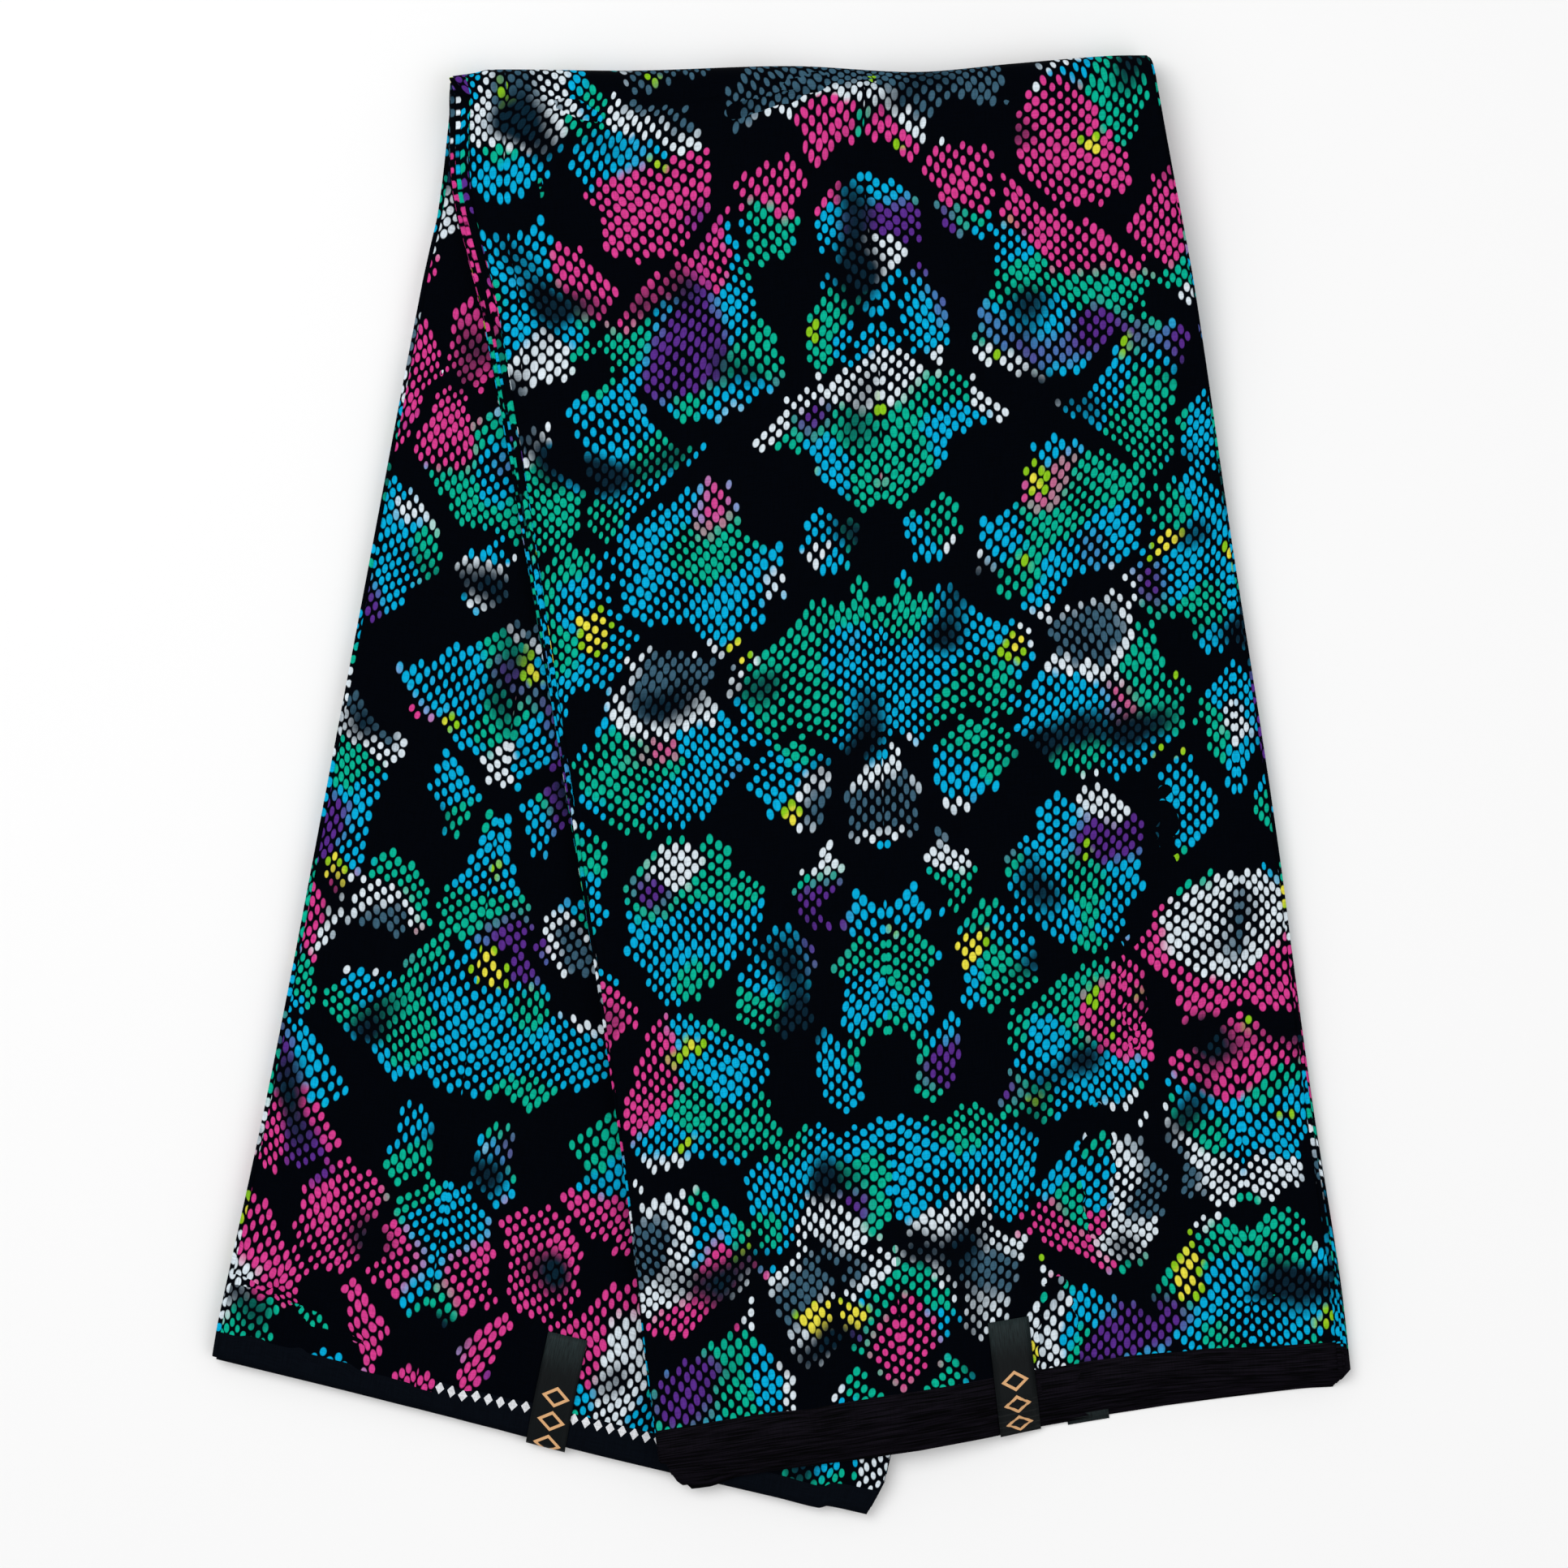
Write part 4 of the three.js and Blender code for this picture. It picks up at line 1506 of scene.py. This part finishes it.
@dataclass(frozen=True)
class SatinRibbon:
    """Black polyester ribbon in a satin weave, with plain gold foil lozenges pressed on hot.

    Its long floats lie along the band. A soft greyish shine in streaks is painted into its colour, most
    where it comes over the cloth's edge. Lengths are in millimetres.
    """

    name: str = "black_satin_label_ribbon"
    black: str = "#07090b"
    # The greyish colour below is a painted highlight: the black ribbon is made lighter where its sheen
    # would catch the light.
    painted_sheen: str = "#2b3839"
    gold: str = "#d9a877"
    roughness: float = 0.5
    ior: float = 1.5
    specular: float = 0.08
    width: float = 17.7
    # How the streaks' noise is squeezed across the band and stretched along it.
    floats: tuple[float, float] = (2.2, 0.18)
    # Strength and height, in metres, of the floats' relief.
    float_relief: tuple[float, float] = (0.2, 0.0002)
    # Below: over how many millimetres from its start the painted sheen fades, and the share of it that is
    # left after that.
    painted_sheen_length: float = 19.0
    painted_sheen_left: float = 0.1
    lozenge: tuple[float, float] = (6.0, 4.4)
    foil_stroke: float = 1.5
    lozenge_spacing: float = 10.4
    first_lozenge: float = 26.0

    def build(self) -> bpy.types.Material:
        """Builds the finish.

        Returns:
            Its material.
        """
        material, tree = new_material(self.name)
        uv = add_node(tree, Kind.UV_MAP, uv_map=PRINT_MAP).outputs["UV"]
        place = add_node(tree, Kind.VECTOR_MATH, {0: uv, "Scale": 1 / MM}, operation="SCALE").outputs[0]
        split = add_node(tree, Kind.SPLIT, {0: place})
        floats = add_node(
            tree, Kind.VECTOR_MATH, {0: place, 1: (*self.floats, 1.0)}, operation="MULTIPLY"
        ).outputs[0]
        streak = add_node(
            tree, Kind.NOISE, {"Vector": floats, "Scale": 1.0, "Detail": 2.0}, noise_dimensions="2D"
        ).outputs["Fac"]
        # Painted sheen: a greyish shine mixed into the colour along the floats' streaks, strongest where
        # the band comes over the cloth's edge.
        painted_sheen_fade = add_node(
            tree,
            Kind.RANGE,
            {
                "Value": split.outputs[1],
                "From Min": 0.0,
                "From Max": self.painted_sheen_length,
                "To Min": 1.0,
                "To Max": self.painted_sheen_left,
            },
            interpolation_type="SMOOTHSTEP",
        ).outputs[0]
        painted_sheen_share = add_node(tree, Kind.MATH, {0: painted_sheen_fade, 1: streak}, operation="MULTIPLY").outputs[0]
        base = add_node(
            tree,
            Kind.MIX,
            {"Factor": painted_sheen_share, COLOUR_A: linear(self.black), COLOUR_B: linear(self.painted_sheen)},
            data_type="RGBA",
        ).outputs[COLOUR_OUT]
        colour = add_node(
            tree,
            Kind.MIX,
            {"Factor": self._foil(tree, split), COLOUR_A: base, COLOUR_B: linear(self.gold)},
            data_type="RGBA",
        ).outputs[COLOUR_OUT]
        strength, height = self.float_relief
        relief = add_node(
            tree, Kind.BUMP, {"Strength": strength, "Distance": height, "Height": streak}
        ).outputs[0]
        shader = add_node(
            tree,
            Kind.PRINCIPLED,
            {
                "Base Color": colour,
                "Roughness": self.roughness,
                "IOR": self.ior,
                "Specular IOR Level": self.specular,
                "Normal": relief,
            },
        )
        add_node(tree, Kind.SURFACE_OUTPUT, {"Surface": shader.outputs[0]})
        return material

    def _foil(self, tree: Tree, split: Node) -> Socket:
        """A row of open foil lozenges down the band's middle.

        Args:
            tree: the node tree.
            split: the node that gives the place on the ribbon, in millimetres.

        Returns:
            1 on the foil and 0 beside it.
        """
        half_across, half_along = self.lozenge
        from_middle = add_node(
            tree, Kind.MATH, {0: split.outputs[0], 1: self.width / 2}, operation="SUBTRACT"
        ).outputs[0]
        aside = add_node(tree, Kind.MATH, {0: from_middle}, operation="ABSOLUTE").outputs[0]
        from_first = add_node(
            tree, Kind.MATH, {0: split.outputs[1], 1: self.first_lozenge}, operation="SUBTRACT"
        ).outputs[0]
        along = add_node(
            tree, Kind.MATH, {0: from_first, 1: self.lozenge_spacing / 2}, operation="PINGPONG"
        ).outputs[0]
        corner = add_node(
            tree, Kind.MATH, {0: aside, 1: half_along / half_across, 2: along}, operation="MULTIPLY_ADD"
        ).outputs[0]
        from_line = add_node(
            tree, Kind.MATH, {0: corner, 1: half_along - self.foil_stroke / 2}, operation="SUBTRACT"
        ).outputs[0]
        to_line = add_node(tree, Kind.MATH, {0: from_line}, operation="ABSOLUTE").outputs[0]
        on_foil = add_node(
            tree, Kind.MATH, {0: to_line, 1: self.foil_stroke / 2}, operation="LESS_THAN"
        ).outputs[0]
        started = add_node(
            tree, Kind.MATH, {0: from_first, 1: -half_along}, operation="GREATER_THAN"
        ).outputs[0]
        return add_node(tree, Kind.MATH, {0: on_foil, 1: started}, operation="MULTIPLY").outputs[0]


@dataclass(frozen=True)
class StudioFloor:
    """White laminate table top, pressed matt, so it is even and has almost no shine."""

    name: str = "matt_white_table"
    white: str = "#fafafa"
    shade: str = "#f7f7f7"
    shades_per_metre: float = 6.0
    roughness: float = 0.9

    def build(self) -> bpy.types.Material:
        """Builds the finish.

        Returns:
            Its material.
        """
        material, tree = new_material(self.name)
        grain = add_node(tree, Kind.NOISE, {"Scale": self.shades_per_metre, "Detail": 2.0}).outputs["Fac"]
        tone = add_node(tree, Kind.RAMP, {0: grain})
        set_ramp(tone, ((0.0, self.shade), (1.0, self.white)))
        shader = add_node(
            tree, Kind.PRINCIPLED, {"Base Color": tone.outputs[0], "Roughness": self.roughness}
        )
        add_node(tree, Kind.SURFACE_OUTPUT, {"Surface": shader.outputs[0]})
        return material


# -------------------------------------------------------------------------------- cloth pieces
@dataclass
class Stations:
    """Where one stretch has its rows: as shares of the turn, of a half's length, and of its overhang."""

    half: Half
    turns: Array = field(default_factory=lambda: np.zeros(0))
    alongs: Array = field(default_factory=lambda: np.zeros(0))
    overhangs: Array = field(default_factory=lambda: np.zeros(0))


@dataclass
class ClothStretch:
    """One stretch of the cloth: some of its layers, over a half, the turn at the fold, or both.

    Its layers are counted from the bundle's outer face. fold_out is how far a fold stands out, fold_wander
    how unevenly the folds lie over each other, and edge_fade the share of the width that this takes.
    side_ease brings the columns closer together at both sides. Lengths are in millimetres, apart from
    flat_length, which is in metres and is not used.
    """

    name: str
    lies_on: str
    first_layer: int
    last_layer: int
    stations: Stations
    columns: int
    arc_steps: int = 4
    fold_out: float = 0.35
    fold_wander: float = 0.5
    free_edge_inset: float = 1.5
    edge_fade: float = 0.04
    side_ease: float = 0.35
    flat_length: float = 0.6
    extra_shares: tuple[float, ...] = ()
    least_step: float = 1e-3
    seed: int = 19

    def section(self) -> tuple[Array, Array, Array, Array]:
        """Works out one row's columns: through each layer and round each fold between layers.

        Returns:
            For each column: its share of the width, its sideways shift in millimetres, its layer (whole on
            a layer, and between two on a fold), and its distance along the cloth's length in millimetres.
        """
        across, inset, layer, run = [], [], [], []
        rng = np.random.default_rng(self.seed)
        wander = rng.uniform(-self.fold_wander, self.fold_wander, BUNDLE.layers + 1)
        spread = 0.5 - 0.5 * np.cos(np.linspace(0, math.pi, self.columns))
        even = np.linspace(0, 1, self.columns)
        shares = np.union1d(self.side_ease * spread + (1 - self.side_ease) * even, self.extra_shares)
        for k in range(self.first_layer, self.last_layer + 1):
            rightwards = k % 2 == 1
            places = shares if rightwards else shares[::-1]
            for t in places:
                across.append(t)
                inset.append(self._edge_shift(k, t, wander))
                layer.append(float(k))
                run.append(k * BUNDLE.panel_width + (t if rightwards else 1 - t) * BUNDLE.panel_width)
            if k == self.last_layer:
                continue
            side = 1.0 if rightwards else 0.0
            outward = 1.0 if rightwards else -1.0
            for step in range(1, self.arc_steps + 1):
                angle = math.pi * step / (self.arc_steps + 1)
                across.append(side)
                start = self._edge_shift(k, side, wander)
                end = self._edge_shift(k + 1, side, wander)
                ease = (1 - math.cos(angle)) / 2
                inset.append(start + (end - start) * ease + outward * self.fold_out * math.sin(angle))
                layer.append(k + ease)
                run.append((k + 1) * BUNDLE.panel_width)
        return tuple(np.array(values) for values in (across, inset, layer, run))

    def _edge_shift(self, layer: int, across: float, wander: Array) -> float:
        """Sideways shift of a layer near its folds and its free edge, which fades out towards its middle.

        Args:
            layer: the layer.
            across: share of the width, from the left edge.
            wander: each fold's own shift, in millimetres.

        Returns:
            The shift, in millimetres.
        """
        rightwards = layer % 2 == 1
        last = BUNDLE.layers - 1
        left = wander[layer] if rightwards else wander[layer + 1]
        right = wander[layer + 1] if rightwards else wander[layer]
        if layer == 0:
            right = -self.free_edge_inset
        if layer == last:
            left = self.free_edge_inset
        near_left = max(0.0, 1 - across / self.edge_fade)
        near_right = max(0.0, 1 - (1 - across) / self.edge_fade)
        return left * near_left + right * near_right

    def grid(self) -> Grid:
        """Works out the stretch's middle surface.

        Returns:
            Its grid, in millimetres.
        """
        across, inset, layer, run = self.section()
        depth = BUNDLE.depth_of(layer)
        overhang = BUNDLE.overhang_of(layer)
        none = np.zeros_like(across)
        rows, printed = [], []
        half = self.stations.half
        for turn in self.stations.turns:
            rows.append(BUNDLE.in_turn(across, inset, depth, none + turn))
            left = (1 - turn) * math.pi * (BUNDLE.turn_radius - depth)
            printed.append(self._printed(Half.FRONT, across, run, layer, 0.0, left))
        for along in self.stations.alongs:
            rows.append(BUNDLE.on_half(half, across, inset, depth, none + along, none))
            printed.append(self._printed(half, across, run, layer, along, 0.0))
        for share in self.stations.overhangs:
            rows.append(BUNDLE.on_half(half, across, inset, depth, none + 1.0, overhang * share))
            past = -overhang * share * BUNDLE.end(half)[0].reach
            printed.append(self._printed(half, across, run, layer, 1.0, past))
        points = np.stack(rows)
        printed = np.stack(printed)
        if self.first_layer == self.last_layer:
            # The print's second axis starts at the front half's selvedge, so it ends at the back half's.
            way = (1.0, 1.0) if half is Half.FRONT else (1.0, -1.0)
            printed = printed + BUNDLE.take_up(half, points[..., 0], points[..., 1]) * way
        row_steps = np.linalg.norm(np.diff(points, axis=0), axis=-1).mean(axis=1)
        column_steps = np.linalg.norm(np.diff(points, axis=1), axis=-1).mean(axis=0)
        return Grid(points, printed, row_steps + self.least_step, column_steps + self.least_step)

    def _printed(
        self, half: Half, across: Array, run: Array, layer: Array, along: float, extra: Array | float
    ) -> Array:
        """Place on the printed cloth of one row of columns.

        Args:
            half: the half that the row is on, or that it is measured from.
            across: each column's share of the width.
            run: each column's distance along the cloth's length.
            layer: each column's layer.
            along: the row's share of the half's length.
            extra: distance further from the selvedge than that, in millimetres.

        Returns:
            Distance from a mirror line, and distance from the front half's selvedge, in millimetres.
        """
        axis_rows = FRONT_AXIS if half is Half.FRONT else BACK_AXIS
        axis = float(read_table(axis_rows, "along", "across", np.array(along)))
        reach = BUNDLE.end(half)[0].reach * BUNDLE.overhang_of(layer)
        from_selvedge = (1 - along) * BUNDLE.length(half, across) + reach + extra
        y = from_selvedge if half is Half.FRONT else BUNDLE.cloth_width - from_selvedge
        shown_layer = 0 if half is Half.FRONT else BUNDLE.layers - 1
        if self.first_layer == self.last_layer == shown_layer:
            x = (across - axis) * BUNDLE.panel_width
        else:
            x = run - axis * BUNDLE.panel_width
        return np.stack(np.broadcast_arrays(x, y), axis=-1)

    def build(self) -> bpy.types.Object:
        """Makes the piece."""
        return sheet_object(f"{self.name}_cloth", self.grid(), BUNDLE.cloth_thickness)

    def dress(self, material: bpy.types.Material) -> bpy.types.Object:
        """Args:
            material: its finish.

        Returns:
            The piece.
        """
        piece = self.build()
        piece.data.materials.append(material)
        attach(piece, ROOT)
        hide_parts(self.name)
        return piece


def spaced(count: int, ease: float = 0.0) -> Array:
    """Spaces places from 0 to 1.

    Args:
        count: how many there are.
        ease: how much closer together they are at both ends, from 0 to 1.

    Returns:
        The places.
    """
    even = np.linspace(0.0, 1.0, count)
    eased = 0.5 - 0.5 * np.cos(math.pi * even)
    return even + (eased - even) * ease


# -------------------------------------------------------------------------------- labels
@dataclass(frozen=True)
class LabelBand:
    """A satin band laid over a half's selvedges and tucked in past the last of them.

    It lies between two shares of the half's width. It starts at a share of the half's length, or at an
    overhang where the rest of it is under the cloth. over is how far it goes past the last selvedge, as it
    turns down through turn_degrees. Lengths are in millimetres.
    """

    name: str
    half: Half
    left_across: float
    right_across: float
    start_along: float
    start_overhang: float
    over: float
    thickness: float = 0.22
    lift: float = 0.5
    columns: int = 7
    rows_on_cloth: int = 12
    turn_degrees: tuple[float, ...] = (35.0, 70.0, 105.0)
    tucked: float = 3.0

    def grid(self) -> Grid:
        """Works out the band's middle surface.

        Returns:
            Its grid, in millimetres.
        """
        across = np.linspace(self.left_across, self.right_across, self.columns)
        way = BUNDLE.way(self.half)
        rows = []
        if self.start_overhang == 0:
            for along in np.linspace(self.start_along, 1.0, self.rows_on_cloth):
                rows.append(self._row(across, along, 0.0, 0.0))
        else:
            tucked = self._row(across, 1.0, self.start_overhang, self._step_depth(self.start_overhang))
            tucked[:, :2] -= way * self.tucked
            tucked[:, 2] -= self.lift + BUNDLE.pitch / 2
            rows.append(tucked)
        for overhang in LAYER_OVERHANGS:
            if overhang > self.start_overhang:
                rows.append(self._row(across, 1.0, overhang, self._step_depth(overhang)))
        edge = rows[-1]
        for angle in np.radians(self.turn_degrees):
            points = edge.copy()
            points[:, :2] += way * self.over * math.sin(angle)
            points[:, 2] = np.maximum(points[:, 2] - self.over * (1 - math.cos(angle)), self.thickness)
            rows.append(points)
        points = np.stack(rows)
        steps = np.linalg.norm(np.diff(points, axis=0), axis=-1).mean(axis=1)
        width = np.linspace(0.0, float(np.linalg.norm(edge[-1] - edge[0])), self.columns)
        lengths = np.concatenate([[0.0], np.cumsum(steps)])
        printed = np.stack(np.meshgrid(width, lengths), axis=-1)
        return Grid(points, printed, steps, np.ones(self.columns - 1))

    def _row(self, across: Array, along: float, overhang: float, depth: float) -> Array:
        """One row of the band, straight across and just over the cloth.

        Args:
            across: each column's share of the half's width.
            along: the row's share of the half's length.
            overhang: from 0 at the outer selvedge to 1 at the innermost one.
            depth: depth of the cloth below the front half's top there. The back half's steps rise, so its
                band stays on the innermost layer.

        Returns:
            The row's places, in millimetres.
        """
        zero = np.zeros_like(across)
        if self.half is Half.BACK:
            depth, drift = BUNDLE.half_depth, 0.0
        else:
            drift = BUNDLE.end_drift * BUNDLE.drift_share(depth)
        points = BUNDLE.on_half(
            self.half, across, zero - drift, zero + depth, zero + along, zero + overhang
        )
        points[:, 2] += self.lift
        return points

    @staticmethod
    def _step_depth(overhang: float) -> float:
        """Depth of the uppermost layer that reaches as far out as this, over the steps of selvedges."""
        layer = float(np.interp(overhang, LAYER_OVERHANGS, np.arange(BUNDLE.layers)))
        return float(BUNDLE.depth_of(layer)) - BUNDLE.pitch

    def dress(self, material: bpy.types.Material) -> bpy.types.Object:
        """Args:
            material: its finish.

        Returns:
            The band.
        """
        grid = self.grid()
        piece = sheet_object(f"{self.name}_ribbon", grid, self.thickness)
        piece.data.materials.append(material)
        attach(piece, ROOT)
        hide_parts(self.name)
        return piece


# -------------------------------------------------------------------------------- studio
@dataclass(frozen=True)
class Lamp:
    """A round soft lamp aimed at the bundle. Lengths are in metres, and its power is in watts."""

    name: str
    place: tuple[float, float, float]
    size: float
    power: float


@dataclass(frozen=True)
class Studio:
    """A white table, soft lamps and the camera over it. Lengths are in metres, its elevation in degrees."""

    table_size: float = 12.0
    table_drop: float = 0.0002
    lamps: tuple[Lamp, ...] = (
        Lamp("key_lamp", (-0.9, 0.7, 1.9), 1.6, 22.3),
        Lamp("fill_lamp", (1.1, -0.6, 1.8), 1.8, 10.6),
    )
    surround: float = 0.53
    elevation: float = 89.5
    distance: float = 1.7
    frame_width: float = 0.6545
    aim_shift: tuple[float, float] = (0.0005, 0.0012)
    roll: float = 0.0003
    sensor: float = 36.0

    def build(self) -> None:
        """Builds the whole studio."""
        self.lay_table()
        self.hang_lamps()
        self.set_camera()

    def lay_table(self) -> None:
        """Makes the table top that the bundle lies on."""
        half = self.table_size / 2
        mesh = bpy.data.meshes.new("table")
        corners = [(-half, -half, 0), (half, -half, 0), (half, half, 0), (-half, half, 0)]
        mesh.from_pydata(corners, [], [(0, 1, 2, 3)])
        table = bpy.data.objects.new("table", mesh)
        table.location.z = -self.table_drop
        mesh.materials.append(StudioFloor().build())
        bpy.context.scene.collection.objects.link(table)

    def hang_lamps(self) -> None:
        """Hangs the lamps, with an even white surround."""
        for lamp in self.lamps:
            light = bpy.data.lights.new(lamp.name, "AREA")
            light.shape = "DISK"
            light.size = lamp.size
            light.energy = lamp.power
            hung = bpy.data.objects.new(lamp.name, light)
            hung.location = lamp.place
            hung.rotation_euler = (-Vector(lamp.place)).to_track_quat("-Z", "Y").to_euler()
            bpy.context.scene.collection.objects.link(hung)
        world = bpy.data.worlds.new("studio")
        world.use_nodes = True
        tree = world.node_tree
        tree.nodes.clear()
        glow = add_node(tree, Kind.BACKGROUND, {"Color": (1.0, 1.0, 1.0, 1.0), "Strength": self.surround})
        add_node(tree, Kind.WORLD_OUTPUT, {"Surface": glow.outputs[0]})
        bpy.context.scene.world = world

    def set_camera(self) -> None:
        """Sets the camera over the bundle, looking almost straight down."""
        data = bpy.data.cameras.new("camera")
        data.sensor_width = self.sensor
        data.lens = self.sensor * self.distance / self.frame_width
        camera = bpy.data.objects.new("camera", data)
        low, high = CAD_BOX
        aim = (low + high) / 2 + Vector((*self.aim_shift, 0.0))
        angle = math.radians(self.elevation)
        camera.location = aim + self.distance * Vector((0.0, -math.cos(angle), math.sin(angle)))
        turned = Quaternion((0.0, 0.0, 1.0), self.roll)
        camera.rotation_euler = ((aim - camera.location).to_track_quat("-Z", "Y") @ turned).to_euler()
        bpy.context.scene.collection.objects.link(camera)
        bpy.context.scene.camera = camera
        bpy.context.scene.view_settings.view_transform = "Standard"


def cloth_stretches() -> list[ClothStretch]:
    """Lists the stretches of cloth.

    Returns:
        Them, from the front half's outer layer to the back half's pleats.
    """
    fine_turns = spaced(24)[:-1]
    turns = spaced(15)
    overhangs = np.linspace(0.25, 1.0, 4)
    last = BUNDLE.layers - 1
    end_shares = (0.015, 0.04, 0.065, 0.09, 0.9, 0.912, 0.919, 0.926, 0.95, 0.975)
    return [
        ClothStretch(
            "front_panel", "front_pleats", 0, 0,
            Stations(Half.FRONT, turns=fine_turns, alongs=spaced(225)),
            columns=124, flat_length=0.585,
        ),
        ClothStretch(
            "front_pleats", "back_panel", 1, last,
            Stations(Half.FRONT, alongs=spaced(46, 0.5), overhangs=overhangs),
            columns=14, flat_length=0.575, extra_shares=end_shares,
        ),
        ClothStretch(
            "top_fold", "back_pleats", 1, last,
            Stations(Half.FRONT, turns=turns),
            columns=14, flat_length=0.0145,
        ),
        ClothStretch(
            "back_panel", "back_pleats", last, last,
            Stations(Half.BACK, alongs=spaced(200), overhangs=overhangs),
            columns=110, flat_length=0.565, extra_shares=end_shares,
        ),
        ClothStretch(
            "back_pleats", "table", 0, last - 1,
            Stations(Half.BACK, alongs=spaced(36, 0.5), overhangs=overhangs),
            columns=9, flat_length=0.56, extra_shares=end_shares,
        ),
    ]


def labels() -> list[LabelBand]:
    """Lists the three label bands, the last of which is mostly under the cloth.

    Returns:
        The bands.
    """
    return [
        LabelBand(
            "label_front", Half.FRONT,
            left_across=0.494, right_across=0.554, start_along=0.9345, start_overhang=0.0, over=1.0,
        ),
        LabelBand(
            "label_back", Half.BACK,
            left_across=0.4725, right_across=0.531, start_along=0.945, start_overhang=0.0, over=2.4,
        ),
        LabelBand(
            "label_under", Half.FRONT,
            left_across=0.594, right_across=0.655, start_along=1.0, start_overhang=0.8, over=1.7,
            lift=-0.2, tucked=7.0,
        ),
    ]


def main() -> None:
    """Builds the studio, then the cloth and its labels, and reports each piece."""
    logging.basicConfig(level=logging.INFO, format="%(name)s: %(message)s")
    Studio().build()
    cotton = WaxPrintCotton().build()
    ribbon = SatinRibbon().build()
    for stretch in cloth_stretches():
        piece = stretch.dress(cotton)
        LOG.info("%s: %d faces", piece.name, len(piece.data.polygons))
    for label in labels():
        piece = label.dress(ribbon)
        LOG.info("%s: %d faces", piece.name, len(piece.data.polygons))


if __name__ == "__main__":
    main()
